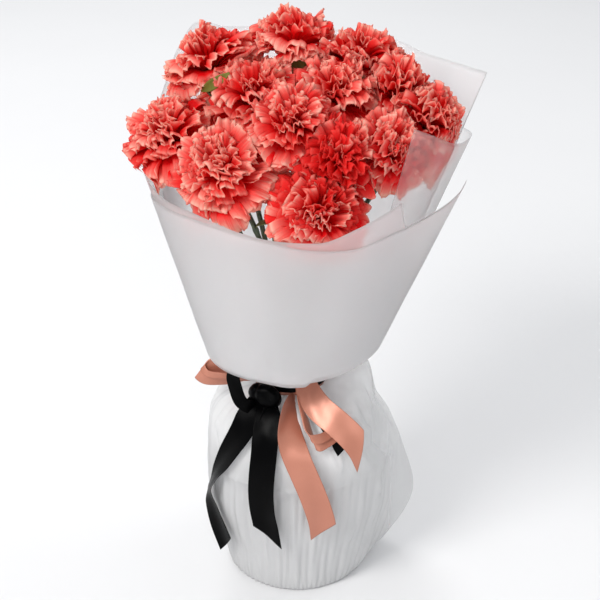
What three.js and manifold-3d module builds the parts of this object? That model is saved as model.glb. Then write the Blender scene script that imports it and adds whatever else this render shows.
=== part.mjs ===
// A bunch of carnations: fifteen ruffled blooms on cut stems, standing in the water of a plain vase.
// A film wrap goes under and round the vase and is gathered at its neck, four sheets of translucent
// paper make the cone above it, and a copper and a black satin ribbon are tied round the neck.
// Millimetres, +Z up. The origin is the middle of the film's flat bottom, on the table; -Y is the front.

import * as THREE from 'three';
import { mergeVertices } from 'three/addons/utils/BufferGeometryUtils.js';
import Module from 'manifold-3d';

const wasm = await Module();
wasm.setup();

// ---------------------------------------------------------------- driving dimensions

const GAP = 0.3; // kept between pieces that touch

const VASE = { top: 128, radius: 61, wall: 2.5, floor: 4, sides: 24 };
const WATER = { top: 92, sides: 24 };

const FILM = {
  thickness: 0.9, bottomRadius: 67.5, flatRadius: 62, hemZ: 1.6, neckRadius: 26, topLayer: 4, sides: 24,
  pleats: 6,
};
const FILM_NECK = [...Array(4).fill(FILM.neckRadius), 6.0]; // four radii and the pleats, where it is tied
// height, then the film's radius at the front, the right, the back and the left, then the pleats' depth
const FILM_ROWS = [
  [35, 70, 82, 70, 73, 0.8],
  [93, 77, 94, 76, 86, 1.0],
  [149, 80, 91, 78, 84, 1.2],
  [167, 77, 84, 75, 80, 2.0],
  [181, 68, 73, 66, 71, 3.2],
  [191, 54, 57, 53, 57, 4.4],
  [202, ...FILM_NECK],
  [221, ...FILM_NECK],
];
const FILM_TOP = [[236, 0.55], [256, 1]]; // above the tie: height, and share of the way out to the paper
const FILM_SHIFT = { from: 140, to: 208 }; // heights between which the film moves over to the neck
const FLARE ={ angle: 96, width: 13, reach: 27 }; // the film's loose fold, which stands out on the right
const FLARE_SHARE = [0.35, 1, 0.5, 0.2, 0, 0, 0, 0]; // of its reach, row by row

const NECK = { x: -6.5, y: 0, z: 215 }; // where everything is gathered and tied
const STEM = { radius: 2.2, sides: 6, spacing: 5, bundle: 12.4, foot: 12, spread: 1.7 };
const TIE = { inner: 15.2, outer: 18.9, bottom: 209, top: 216, sides: 16 };

const STEM_STEPS = [0, 0.3, 0.6, 0.85]; // where its rings lie, from the neck to the calyx
const STEM_BEND = 0.3; // how long it keeps its direction at the neck and at the calyx, as a share
const CALYX = { length: 26, foot: 2.8, waist: 6, waistAt: 8, mouth: 7.6 }; // radii, and a height
const LEAF = { width: 6, thickness: 0.8, reach: 0.8, rise: 0.6, fold: 0.9 };
const LEAF_ROWS = [[0, 0, 0.5], [0.35, 0.42, 1], [0.75, 0.6, 0.8], [1, 0.5, 0.15]]; // out, up, width

const PAPER = { thickness: 0.8, pitch: 1.6, bottomRadius: 75.5, bottomZ: 230, slope: 0.347 };
const CONE_LEAN = { bottom: [-5.5, -0.25], top: [6.5, 8.3], rise: 170 }; // x and y of the cone's centre

const BLOOM_FOCUS = new THREE.Vector3(0, 0, 300); // the blooms face away from this point
const BLOOM_CIRCLE = { radius: 125, y: 4 }; // which holds their middles, seen from above
const RECEPTACLE = 14; // from a bloom's middle down to where its petals spring
// x, y, z of the middle, radius, and the turn of its petals in degrees
const BLOOMS = [
  [-78, 44, 498, 40, 20],
  [-2, 64, 509, 43, 250],
  [55, 46, 500, 41, 70],
  [87, 12, 485, 38, 182],
  [113, -14, 469, 39, 285],
  [-108, -14, 453, 43, 232],
  [-37, -2, 485, 42, 110],
  [-4, -52, 480, 41, 40],
  [-62, -72, 449, 42, 262],
  [17, -104, 427, 42, 330],
  [76, -56, 458, 40, 300],
  [33, 0, 486, 42, 15],
  [34, -74, 461, 38, 340],
  [-50, 100, 450, 41, 90],
  [50, 102, 452, 41, 60],
];
// middle: where a petal's middle ring of points lies, along its length, and its width as a share
const PETAL = {
  thickness: 0.8, middle: 0.55, middleWidth: 0.8, corner: 0.1, notch: 0.07, ragged: 0.06, waveSpread: 0.6,
};
// the petals' layers: how many, how far they reach as a share of the bloom's radius, the heights of
// their middle and their edge, half of the angle that each spans, and the depth of its waves
const LAYERS = [
  { count: 5, reach: 1.0, middle: -1, edge: -11, half: 33, wave: 3.4 },
  { count: 5, reach: 0.88, middle: 5, edge: 9, half: 33, wave: 3.8 },
  { count: 3, reach: 0.54, middle: 13, edge: 23, half: 50, wave: 3 },
];
const CORE = { sides: 5, foot: 7, waist: 0.42, waistZ: -5, top: 0.22, topZ: 14 }; // a bloom's dense middle
// how the petals give way: how near a neighbour counts, how far before a border they begin to bend, and
// how often all the borders are gone through
const PRESS = { near: 12, softening: 7, turns: 3 };
const CONE_ROOM = { layer: 3.75, freeAbove: 440, freeing: 0.8 }; // inside the paper, wider past its edge

const RIBBON = { thickness: 0.8, wide: 25, narrow: 14, wideFrom: 0.25, endFrom: 0.9 };
const COPPER_BAND = { inner: 32.8, bottom: 203, top: 219.5 };
const BLACK_BAND = { inner: 34, bottom: 207, top: 215 };

// ---------------------------------------------------------------- materials

function material(color, roughness, metalness = 0, opacity = 1) {
  return new THREE.MeshStandardMaterial({
    color, roughness, metalness, opacity, transparent: opacity < 1, side: THREE.DoubleSide,
  });
}
const petalCoral = material(0xe0604f, 0.6);
const stemGreen = material(0x5d6b4a, 0.6);
const ceramicWhite = material(0xf2f1ee, 0.35);
const waterClear = material(0xdfeef2, 0.05, 0, 0.5);
const filmWhite = material(0xf6f6f6, 0.3, 0, 0.9);
const paperFrosted = material(0xececec, 0.5, 0, 0.85);
const satinBlack = material(0x17171a, 0.4);
const satinCopper = material(0xc98268, 0.35);
const twineStraw = material(0xb99a68, 0.9);

// ---------------------------------------------------------------- solids

const radians = THREE.MathUtils.degToRad;
const lerp = THREE.MathUtils.lerp;
const vec = (x, y, z) => new THREE.Vector3(x, y, z);

/** A repeatable number from 0 to 1 for a whole number. */
function draw(n) {
  const s = Math.sin(n * 12.9898 + 4.1414) * 43758.5453;
  return s - Math.floor(s);
}

/** The solid of a closed geometry, for joining and cutting. */
function solidOf(geometry) {
  const bare = geometry.clone();
  for (const name of Object.keys(bare.attributes)) if (name !== 'position') bare.deleteAttribute(name);
  const merged = mergeVertices(bare, 1e-4);
  const index = Array.from(merged.index.array);
  const kept = [];
  for (let i = 0; i < index.length; i += 3) {
    const [a, b, c] = index.slice(i, i + 3);
    if (a !== b && b !== c && c !== a) kept.push(a, b, c);
  }
  const mesh = new wasm.Mesh({
    numProp: 3,
    vertProperties: Float32Array.from(merged.attributes.position.array),
    triVerts: Uint32Array.from(kept),
  });
  return new wasm.Manifold(mesh);
}

/** The geometry of a solid. */
function geometryOf(solid) {
  const mesh = solid.getMesh();
  const geometry = new THREE.BufferGeometry();
  geometry.setAttribute('position', new THREE.BufferAttribute(mesh.vertProperties, 3));
  geometry.setIndex(new THREE.BufferAttribute(mesh.triVerts, 1));
  geometry.computeVertexNormals();
  return geometry;
}

/** Several closed geometries joined into one body; loose scraps are dropped. */
function joined(geometries) {
  let whole = solidOf(geometries[0]);
  for (const geometry of geometries.slice(1)) whole = whole.add(solidOf(geometry));
  return largestBody(whole);
}

function largestBody(solid) {
  const bodies = solid.decompose();
  return bodies.reduce((best, body) => (body.volume() > best.volume() ? body : best));
}

/** The volume inside a triangle list, which is below zero when its faces point in. */
function signedVolume(vertices, triangles) {
  let volume = 0;
  for (const [a, b, c] of triangles) {
    volume += vertices[a].dot(vec(0, 0, 0).crossVectors(vertices[b], vertices[c])) / 6;
  }
  return volume;
}

function geometryFrom(vertices, triangles) {
  const outward = signedVolume(vertices, triangles) > 0;
  const geometry = new THREE.BufferGeometry().setFromPoints(vertices);
  geometry.setIndex(triangles.flatMap(([a, b, c]) => (outward ? [a, b, c] : [a, c, b])));
  return geometry;
}

/**
 * A closed solid of even thickness round rows of points, each with as many points as the first.
 * round: the ends of each row join up. apex: the first row is one point.
 */
function sheetSolid(rows, thickness, { round = false, apex = false } = {}) {
  const high = rows.length;
  const wide = rows[0].length;
  const at = (i, j) => rows[j][round ? (i + wide) % wide : THREE.MathUtils.clamp(i, 0, wide - 1)];
  const faces = [[], []];
  for (let j = 0; j < high; j++) {
    for (let i = 0; i < wide; i++) {
      const across = at(i + 1, j === 0 && apex ? 1 : j).clone().sub(at(i - 1, j === 0 && apex ? 1 : j));
      const along = at(i, Math.min(j + 1, high - 1)).clone().sub(at(i, Math.max(j - 1, 0)));
      const normal = across.cross(along).normalize().multiplyScalar(thickness / 2);
      faces[0].push(at(i, j).clone().add(normal));
      faces[1].push(at(i, j).clone().sub(normal));
    }
  }
  if (apex) {
    for (let side = 0; side < 2; side++) {
      const middle = faces[side][Math.floor(wide / 2)].clone();
      for (let i = 0; i < wide; i++) faces[side][i] = middle.clone();
    }
  }
  const vertices = faces.flat();
  const under = wide * high;
  const last = round ? wide : wide - 1;
  const triangles = [];
  for (let j = 0; j < high - 1; j++) {
    for (let i = 0; i < last; i++) {
      const a = j * wide + i;
      const b = j * wide + ((i + 1) % wide);
      const c = b + wide;
      const d = a + wide;
      if (!(apex && j === 0)) triangles.push([a, b, c], [under + a, under + c, under + b]);
      triangles.push([a, c, d], [under + a, under + d, under + c]);
    }
  }
  const rim = (a, b) => triangles.push([a, under + b, b], [a, under + a, under + b]);
  for (let i = 0; i < last; i++) {
    const b = (i + 1) % wide;
    if (!apex) rim(i, b);
    rim((high - 1) * wide + b, (high - 1) * wide + i);
  }
  if (!round) {
    for (let j = 0; j < high - 1; j++) {
      rim(j * wide + wide - 1, (j + 1) * wide + wide - 1);
      rim((j + 1) * wide, j * wide);
    }
  }
  return geometryFrom(vertices, triangles);
}

/** A closed solid through rings of points, with flat ends. */
function loft(rings) {
  const sides = rings[0].length;
  const vertices = rings.flat();
  const triangles = [];
  for (let j = 0; j < rings.length - 1; j++) {
    for (let i = 0; i < sides; i++) {
      const a = j * sides + i;
      const b = j * sides + ((i + 1) % sides);
      triangles.push([a, b, b + sides], [a, b + sides, a + sides]);
    }
  }
  const top = (rings.length - 1) * sides;
  for (let i = 1; i < sides - 1; i++) triangles.push([0, i + 1, i], [top, top + i, top + i + 1]);
  return geometryFrom(vertices, triangles);
}

/** Rings of a round bar, from its centre points and its radii. */
function barRings(centres, radii, sides) {
  return centres.map((centre, j) => {
    const before = centres[Math.max(j - 1, 0)];
    const after = centres[Math.min(j + 1, centres.length - 1)];
    const along = after.clone().sub(before).normalize();
    const side = vec(0, 1, 0).cross(along).normalize();
    const other = along.clone().cross(side);
    return Array.from({ length: sides }, (_, i) => {
      const turn = (2 * Math.PI * i) / sides;
      return centre.clone()
        .addScaledVector(side, radii[j] * Math.cos(turn))
        .addScaledVector(other, radii[j] * Math.sin(turn));
    });
  });
}

// ---------------------------------------------------------------- vase and water

const vaseBottom = FILM.thickness + GAP;
const waterBottom = vaseBottom + VASE.floor + GAP;

function vaseGeometry() {
  const inner = VASE.radius - VASE.wall;
  const outline = [
    [0, vaseBottom], [VASE.radius, vaseBottom], [VASE.radius, VASE.top],
    [inner, VASE.top], [inner, vaseBottom + VASE.floor], [0, vaseBottom + VASE.floor],
  ];
  return upright(outline, VASE.sides);
}

/** A body turned round the Z axis from an outline of radius and height. */
function upright(outline, sides) {
  const points = outline.map(([radius, z]) => new THREE.Vector2(radius, z));
  return new THREE.LatheGeometry(points, sides).rotateX(Math.PI / 2);
}

/** Water, with a plain hole round each stem. */
function waterGeometry(stemLines) {
  const radius = VASE.radius - VASE.wall - GAP;
  const outline = [[0, waterBottom], [radius, waterBottom], [radius, WATER.top], [0, WATER.top]];
  let water = solidOf(upright(outline, WATER.sides));
  for (const [foot, neck] of stemLines) {
    const ends = [STEM.foot - 2 * GAP, WATER.top + 1].map((z) => {
      return foot.clone().lerp(neck, (z - foot.z) / (neck.z - foot.z));
    });
    const hole = loft(barRings(ends, ends.map(() => STEM.radius + 2 * GAP), STEM.sides));
    water = water.subtract(solidOf(hole));
  }
  return geometryOf(water);
}

// ---------------------------------------------------------------- film wrap

/** How far the neck's sideways shift reaches at a height: none at the wall, all of it at the neck. */
function neckShift(z) {
  return NECK.x * THREE.MathUtils.smoothstep(z, FILM_SHIFT.from, FILM_SHIFT.to);
}

/** A point of the film at an angle from the front, positive to the right. */
function filmPoint(row, share, angle) {
  const [z, front, right, back, left, pleat] = row;
  const s = Math.sin(angle);
  const c = Math.cos(angle);
  let radius = (c > 0 ? front : back) * c * c + (s > 0 ? right : left) * s * s;
  radius += pleat * Math.cos(FILM.pleats * angle + 0.4 * Math.sin(2 * angle));
  const offset = (THREE.MathUtils.radToDeg(angle) - FLARE.angle) / FLARE.width;
  radius += FLARE.reach * share * Math.exp(-offset * offset);
  return vec(neckShift(z) + radius * s, -radius * c, z);
}

function filmGeometry() {
  const angles = Array.from({ length: FILM.sides }, (_, i) => Math.PI * (2 * i / FILM.sides - 1));
  const disc = (radius, z) => angles.map((a) => vec(radius * Math.sin(a), -radius * Math.cos(a), z));
  const middle = FILM.thickness / 2;
  const nearlyNothing = 0.01; // the first ring is drawn together into one point
  const rows = [disc(nearlyNothing, middle), disc(FILM.flatRadius, middle)];
  rows.push(disc(FILM.bottomRadius, FILM.hemZ));
  FILM_ROWS.forEach((row, j) => rows.push(angles.map((a) => filmPoint(row, FLARE_SHARE[j], a))));
  // above the neck the film opens again, and the paper stands round its top
  for (const [z, share] of FILM_TOP) {
    const seat = coneRadius(z) - FILM.topLayer * PAPER.pitch;
    const radius = lerp(FILM.neckRadius, seat, share);
    const centre = vec(NECK.x, NECK.y, z).lerp(coneCentre(z), share);
    rows.push(angles.map((a) => vec(Math.sin(a), -Math.cos(a), 0).multiplyScalar(radius).add(centre)));
  }
  return geometryOf(largestBody(solidOf(sheetSolid(rows, FILM.thickness, { round: true, apex: true }))));
}

// ---------------------------------------------------------------- paper

/** The paper's cone leans a little to the right and back as it rises. */
function coneCentre(z) {
  const t = (z - PAPER.bottomZ) / CONE_LEAN.rise;
  const [x, y] = [0, 1].map((k) => lerp(CONE_LEAN.bottom[k], CONE_LEAN.top[k], t));
  return vec(x, y, z);
}

function coneRadius(z) {
  return PAPER.bottomRadius + PAPER.slope * (z - PAPER.bottomZ);
}

/** A point on the cone, at an angle from the front and a layer counted inward from the outermost. */
function conePoint(degrees, z, layer) {
  const radius = coneRadius(z) - layer * PAPER.pitch;
  const angle = radians(degrees);
  return coneCentre(z).add(vec(radius * Math.sin(angle), -radius * Math.cos(angle), 0));
}

/** The value of a chain of [place, value] pairs at a place, straight between them. */
function along(chain, place) {
  const last = chain.length - 1;
  if (place <= chain[0][0]) return chain[0][1];
  for (let k = 0; k < last; k++) {
    const [x0, y0] = chain[k];
    const [x1, y1] = chain[k + 1];
    if (place <= x1) return lerp(y0, y1, (place - x0) / (x1 - x0));
  }
  return chain[last][1];
}

/**
 * A sheet on the cone between a bottom and a top edge, both chains of [angle, height].
 * Each column of points runs from an angle on the bottom edge to one on the top edge.
 */
function paperOnCone({ layer, bottom, top, columns, rows = 2 }) {
  const points = [];
  for (let j = 0; j <= rows; j++) {
    points.push(Array.from({ length: columns + 1 }, (_, i) => {
      const low = lerp(bottom[0][0], bottom[bottom.length - 1][0], i / columns);
      const high = lerp(top[0][0], top[top.length - 1][0], i / columns);
      const z = lerp(along(bottom, low), along(top, high), j / rows);
      return conePoint(lerp(low, high, j / rows), z, layer);
    }));
  }
  return sheetSolid(points, PAPER.thickness);
}

const PAPER_OUTER = {
  layer: 0,
  bottom: [[-104, 243], [-75, 240], [-19, 245], [0, 242], [8, 242], [14, 250], [60, 252], [98, 244]],
  top: [[-108, 380], [-80, 398], [-64, 410], [-35, 418], [-16, 413], [3, 404], [16, 402], [34, 413],
    [53, 418], [66, 418], [78, 414]],
  columns: 21,
};
const PAPER_INNER = {
  layer: 1,
  bottom: [[-112, 243], [-75, 242], [-19, 247], [0, 245], [66, 252]],
  top: [[-116, 388], [-90, 410], [-76, 424], [-60, 420], [-40, 423], [-22, 416], [-10, 412], [4, 411],
    [17, 424], [29.6, 442]],
  columns: 18,
};
const PAPER_BACK = {
  layer: 3,
  bottom: [[100, 246], [180, 244], [276, 246]],
  top: [[105, 482], [118, 476], [136, 472], [150, 477], [180, 480], [208, 487], [220, 497], [228, 484],
    [240, 456], [252, 436], [262, 424]],
  columns: 20,
};
// the right-hand sheet leaves the cone and leans in against the blooms: its top edge, from the free
// corner to the cone, and the angles of its bottom edge
const PAPER_RIGHT_TOP = [[93, -80, 488], [110, -62, 474], [127, -40, 458], [141, -4, 442]];
const PAPER_RIGHT_TOP_ON_CONE = [[97, 436], [114, 430]];
const PAPER_RIGHT_BOTTOM = { from: 34, to: 116, z: 250 };
const PAPER_RIGHT_LAYER = 1.9;
const PAPER_RIGHT_REACHES = 70; // the x from which a bloom touches it

/** The edge of the right-hand sheet at the bottom or the top, from 0 at its free edge to 1. */
function paperRightEdges(share) {
  const onCone = PAPER_RIGHT_TOP_ON_CONE.map(([angle, z]) => conePoint(angle, z, PAPER_RIGHT_LAYER));
  const top = PAPER_RIGHT_TOP.map((p) => vec(...p)).concat(onCone);
  const curve = new THREE.CatmullRomCurve3(top, false, 'centripetal');
  const { from, to, z } = PAPER_RIGHT_BOTTOM;
  return [conePoint(lerp(from, to, share), z, PAPER_RIGHT_LAYER), curve.getPoint(share)];
}

function paperRightGeometry() {
  const columns = 12;
  const edges = Array.from({ length: columns + 1 }, (_, i) => paperRightEdges(i / columns));
  const rows = [0, 0.5, 1].map((share) => edges.map(([low, high]) => low.clone().lerp(high, share)));
  return sheetSolid(rows, PAPER.thickness);
}

// ---------------------------------------------------------------- blooms

const blooms = BLOOMS.map(([x, y, z, radius, spin], index) => {
  const middle = vec(x, y, z);
  const axis = middle.clone().sub(BLOOM_FOCUS).normalize();
  const side = vec(0, 1, 0).cross(axis).normalize();
  return { index, middle, radius, spin: radians(spin), axis, side, other: axis.clone().cross(side) };
});

/** A point given in a bloom's own frame. */
function bloomPoint(bloom, x, y, z) {
  return bloom.middle.clone()
    .addScaledVector(bloom.side, x)
    .addScaledVector(bloom.other, y)
    .addScaledVector(bloom.axis, z);
}

/** The planes between a bloom and the blooms that it presses on: a normal that points out, and a place. */
function bordersOf(bloom) {
  const borders = [];
  for (const other of blooms) {
    const between = other.middle.clone().sub(bloom.middle);
    const distance = between.length();
    if (other === bloom || distance > bloom.radius + other.radius + PRESS.near) continue;
    const share = (distance ** 2 + bloom.radius ** 2 - other.radius ** 2) / (2 * distance);
    const normal = between.normalize();
    borders.push({ normal, place: normal.dot(bloom.middle) + share - GAP / 2 });
  }
  return borders.concat(paperBordersOf(bloom));
}

/** The planes of the right-hand sheet, for the blooms at the front right that it leans on. */
function paperBordersOf(bloom) {
  if (bloom.middle.x < PAPER_RIGHT_REACHES || bloom.middle.y > 0) return [];
  const borders = [];
  const half = 0.1;
  for (const share of [0.1, 0.3, 0.5, 0.7]) {
    const [low, high] = paperRightEdges(share - half);
    const [, beside] = paperRightEdges(share + half);
    const normal = high.clone().sub(low).cross(beside.clone().sub(high)).normalize();
    if (normal.dot(high) < normal.dot(bloom.middle)) normal.negate();
    borders.push({ normal, place: normal.dot(high) - PAPER.thickness / 2 - 2 * GAP });
  }
  return borders;
}

/** A value held below a limit, bending smoothly as it nears it. */
function heldBelow(value, limit) {
  const over = value - (limit - PRESS.softening);
  return over <= 0 ? value : limit - PRESS.softening * Math.exp(-over / PRESS.softening);
}

/** How far from the cone's centre line a petal may reach at a height. */
function coneRoom(z) {
  const freed = CONE_ROOM.freeing * Math.max(0, z - CONE_ROOM.freeAbove);
  return coneRadius(z) - CONE_ROOM.layer * PAPER.pitch - GAP + freed;
}

/** A petal's point bent back from the neighbours and the paper. */
function bentInside(point, borders) {
  const held = point.clone();
  for (let turn = 0; turn < PRESS.turns; turn++) {
    for (const { normal, place } of borders) {
      const value = normal.dot(held);
      held.addScaledVector(normal, heldBelow(value, place - PETAL.thickness / 2) - value);
    }
  }
  const centre = coneCentre(held.z);
  const out = held.clone().sub(centre);
  const room = coneRoom(held.z) - PETAL.thickness / 2;
  return centre.add(out.setLength(heldBelow(out.length(), room)));
}

/** One petal: a fan that springs from the receptacle, with a waved, notched edge. */
function petalGeometry(bloom, layer, angle, seed, borders) {
  const half = radians(layer.half);
  const place = (turn, radius, z) => {
    return bentInside(bloomPoint(bloom, radius * Math.cos(turn), radius * Math.sin(turn), z), borders);
  };
  const root = bloomPoint(bloom, 0, 0, -RECEPTACLE + 1);
  const reach = bloom.radius * layer.reach;
  const middle = [-PETAL.middleWidth, 0, PETAL.middleWidth].map((u) => {
    return place(angle + u * half, reach * PETAL.middle, layer.middle - Math.abs(u));
  });
  const edge = [-1, -0.5, 0, 0.5, 1].map((u, i) => {
    const ragged = PETAL.ragged * (draw(seed + i) - 0.5);
    const length = 1 - PETAL.corner * u * u - PETAL.notch * (i % 2) + ragged;
    const depth = 1 + PETAL.waveSpread * (draw(seed + 7 * i) - 0.5);
    const wave = layer.wave * (i % 2 ? -depth : depth);
    return place(angle + u * half, reach * length, layer.edge + wave);
  });
  return fanSolid(root, middle, edge, PETAL.thickness);
}

/** A closed fan of even thickness: a root point, three points half-way and five along its edge. */
function fanSolid(root, middle, edge, thickness) {
  const points = [root, ...middle, ...edge];
  const face = [[0, 2, 1], [0, 3, 2], [1, 5, 4], [1, 2, 5], [2, 6, 5], [2, 7, 6], [2, 3, 7], [3, 8, 7]];
  const outline = [0, 1, 4, 5, 6, 7, 8, 3];
  const normals = points.map(() => vec(0, 0, 0));
  for (const [a, b, c] of face) {
    const normal = points[b].clone().sub(points[a]).cross(points[c].clone().sub(points[a]));
    for (const k of [a, b, c]) normals[k].add(normal);
  }
  const offset = (side) => points.map((p, k) => {
    return p.clone().addScaledVector(normals[k].clone().normalize(), side * thickness / 2);
  });
  const under = points.length;
  const triangles = face.flatMap(([a, b, c]) => [[a, b, c], [under + a, under + c, under + b]]);
  outline.forEach((a, i) => {
    const b = outline[(i + 1) % outline.length];
    triangles.push([a, b, under + b], [a, under + b, under + a]);
  });
  return geometryFrom([...offset(1), ...offset(-1)], triangles);
}

/** The dense middle of a bloom, which the petals stand out of. */
function coreGeometry(bloom, borders) {
  const profile = [
    [CORE.foot, -RECEPTACLE], [CORE.waist * bloom.radius, CORE.waistZ], [CORE.top * bloom.radius, CORE.topZ],
  ];
  const rings = profile.map(([radius, z]) => Array.from({ length: CORE.sides }, (_, i) => {
    const turn = bloom.spin + 2 * Math.PI * i / CORE.sides;
    return bentInside(bloomPoint(bloom, radius * Math.cos(turn), radius * Math.sin(turn), z), borders);
  }));
  return loft(rings);
}

function bloomGeometry(bloom) {
  const borders = bordersOf(bloom);
  const pieces = [coreGeometry(bloom, borders)];
  LAYERS.forEach((layer, k) => {
    for (let i = 0; i < layer.count; i++) {
      const seed = 101 * bloom.index + 17 * k + 3 * i;
      const angle = bloom.spin + 2 * Math.PI * (i + 0.5 * k + 0.12 * (draw(seed) - 0.5)) / layer.count;
      pieces.push(petalGeometry(bloom, layer, angle, seed, borders));
    }
  });
  let whole = joined(pieces);
  for (const { normal, place } of borders) {
    whole = whole.trimByPlane([-normal.x, -normal.y, -normal.z], -place);
  }
  return geometryOf(largestBody(whole));
}

// ---------------------------------------------------------------- stems

/** Where the stems pass the neck: as near the blooms' own pattern as their thickness lets them. */
function neckSlots() {
  const scale = STEM.bundle / BLOOM_CIRCLE.radius;
  const slots = blooms.map(({ middle }) => {
    return new THREE.Vector2(middle.x, middle.y - BLOOM_CIRCLE.y).multiplyScalar(scale);
  });
  const turns = 400;
  for (let turn = 0; turn < turns; turn++) {
    for (const a of slots) {
      for (const b of slots) {
        const apart = a.clone().sub(b);
        if (a === b || apart.length() >= STEM.spacing) continue;
        apart.setLength((STEM.spacing - apart.length()) / 2);
        a.add(apart);
        b.sub(apart);
      }
    }
    for (const slot of slots) slot.clampLength(0, STEM.bundle);
  }
  return slots;
}

const slots = neckSlots();
const stems = blooms.map((bloom, k) => {
  const end = bloomPoint(bloom, 0, 0, -RECEPTACLE - CALYX.length);
  const neck = vec(NECK.x + slots[k].x, NECK.y + slots[k].y, NECK.z);
  const foot = vec(slots[k].x * STEM.spread, slots[k].y * STEM.spread, STEM.foot);
  return { bloom, end, neck, foot };
});

/** A stem with its calyx, in one piece, and a narrow leaf where there is room for one. */
function stemGeometry({ bloom, end, neck, foot }) {
  const bend = STEM_BEND * end.distanceTo(neck);
  const low = neck.clone().addScaledVector(neck.clone().sub(foot).normalize(), bend);
  const high = end.clone().addScaledVector(bloom.axis, -bend);
  const curve = new THREE.CubicBezierCurve3(neck, low, high, end);
  const centres = [foot, ...STEM_STEPS.map((t) => curve.getPoint(t))];
  const radii = centres.map(() => STEM.radius);
  const calyx = [[0, CALYX.foot], [CALYX.waistAt, CALYX.waist], [CALYX.length - GAP, CALYX.mouth]];
  for (const [height, radius] of calyx) {
    centres.push(end.clone().addScaledVector(bloom.axis, height));
    radii.push(radius);
  }
  const pieces = [loft(barRings(centres, radii, STEM.sides))];
  for (const leaf of LEAVES.filter((entry) => entry.stem === bloom.index + 1)) {
    pieces.push(leafGeometry(curve, leaf));
  }
  return geometryOf(joined(pieces));
}

// stem, place along its upper part, the way the leaf points in degrees from the front, its length
const LEAVES = [
  { stem: 1, place: 0.9, points: 40, length: 34 },
  { stem: 2, place: 0.9, points: -20, length: 34 },
  { stem: 9, place: 0.8, points: 60, length: 36 },
  { stem: 10, place: 0.78, points: -70, length: 36 },
  { stem: 11, place: 0.8, points: -60, length: 34 },
  { stem: 6, place: 0.75, points: 150, length: 36 },
  { stem: 14, place: 0.8, points: 180, length: 34 },
  { stem: 15, place: 0.8, points: 170, length: 34 },
];

/** A narrow leaf that leaves the stem and arches over. */
function leafGeometry(curve, { place, points, length }) {
  const root = curve.getPoint(place);
  const up = curve.getTangent(place);
  const turn = radians(points);
  const level = vec(Math.sin(turn), -Math.cos(turn), 0);
  const out = level.clone().addScaledVector(up, -up.dot(level)).normalize();
  const across = up.clone().cross(out).normalize();
  const rows = LEAF_ROWS.map(([far, high, wide]) => {
    const middle = root.clone()
      .addScaledVector(out, far * length * LEAF.reach)
      .addScaledVector(up, high * length * LEAF.rise);
    return [-1, 0, 1].map((side) => middle.clone()
      .addScaledVector(across, side * wide * LEAF.width / 2)
      .addScaledVector(up, -LEAF.fold * (1 - Math.abs(side))));
  });
  return sheetSolid(rows, LEAF.thickness);
}

function tieGeometry() {
  const outline = [
    [TIE.inner, TIE.bottom], [TIE.outer, TIE.bottom], [TIE.outer, TIE.top], [TIE.inner, TIE.top],
    [TIE.inner, TIE.bottom],
  ];
  return upright(outline, TIE.sides).translate(NECK.x, NECK.y, 0);
}

// ---------------------------------------------------------------- ribbons

/** A band of ribbon round the neck. */
function bandGeometry({ inner, bottom, top }) {
  const outer = inner + RIBBON.thickness;
  const outline = [[inner, bottom], [outer, bottom], [outer, top], [inner, top], [inner, bottom]];
  return upright(outline, TIE.sides).translate(NECK.x, NECK.y, 0);
}

/**
 * A length of ribbon along hand-set points. Each has a place and the direction of the ribbon's width.
 * The three widths are those at its start, along its middle and at its end.
 */
function ribbonGeometry(points, [first, middle, last], steps) {
  const centre = new THREE.CatmullRomCurve3(points.map(([place]) => vec(...place)), false, 'centripetal');
  const across = new THREE.CatmullRomCurve3(points.map(([, side]) => vec(...side).normalize()), false);
  const rows = Array.from({ length: steps + 1 }, (_, j) => {
    const t = j / steps;
    const width = along([[0, first], [RIBBON.wideFrom, middle], [RIBBON.endFrom, middle], [1, last]], t);
    const side = across.getPoint(t).normalize().multiplyScalar(width / 2);
    return [centre.getPoint(t).sub(side), centre.getPoint(t).add(side)];
  });
  return sheetSolid(rows, RIBBON.thickness);
}

const BLACK_KNOT = { middle: [-28.9, -36, 209.5], size: [14, 9, 9.5], turn: -33 };
const BLACK_LEFT_TAIL = [
  [[-33, -42, 205], [20, -15, -3]], [[-42, -53, 197], [20, -15, -3]], [[-51, -61, 181], [20, -17, -1]],
  [[-62, -60, 160], [18, -18, 4]], [[-71, -54, 138], [14, -19, 9]], [[-79, -45, 116], [6, -20, 13]],
  [[-83, -39, 100], [4, -21, 12]], [[-82, -39, 84], [12, -20, 9]], [[-76, -45, 62], [17, -17, 6]],
  [[-67, -52, 38], [19, -15, 2]],
];
const BLACK_FRONT_TAIL = [
  [[-28, -43, 205], [24, -8, 0]], [[-26, -58, 199], [24, -8, 0]], [[-28, -72, 186], [24, -8, 0]],
  [[-30, -80, 168], [23, -9, 0]], [[-32, -84, 150], [23, -9, 0]], [[-33, -84, 130], [23, -9, 0]],
  [[-32, -83, 110], [23, -9, 0]], [[-29, -82, 90], [23, -8, 0]], [[-26, -81, 66], [23, -8, 0]],
];
const BLACK_LOOP = [
  [[-35, -38, 208], [6, -16, 8]], [[-48, -48, 210], [8, -16, 10]], [[-58, -50, 218], [10, -14, 8]],
  [[-57, -49, 230], [10, -14, 4]], [[-46, -46, 229], [10, -12, 8]], [[-34, -38, 214], [10, -14, 8]],
];
const BLACK_SHORT_END = [
  [[18.2, -24, 211], [12, 9, 0]], [[25, -40, 206], [12, 6, 2]], [[30, -57, 196], [12, 5, 2]],
  [[35, -69, 181], [12, 3, 3]], [[38, -77, 164], [12, 1, 5]],
];
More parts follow.
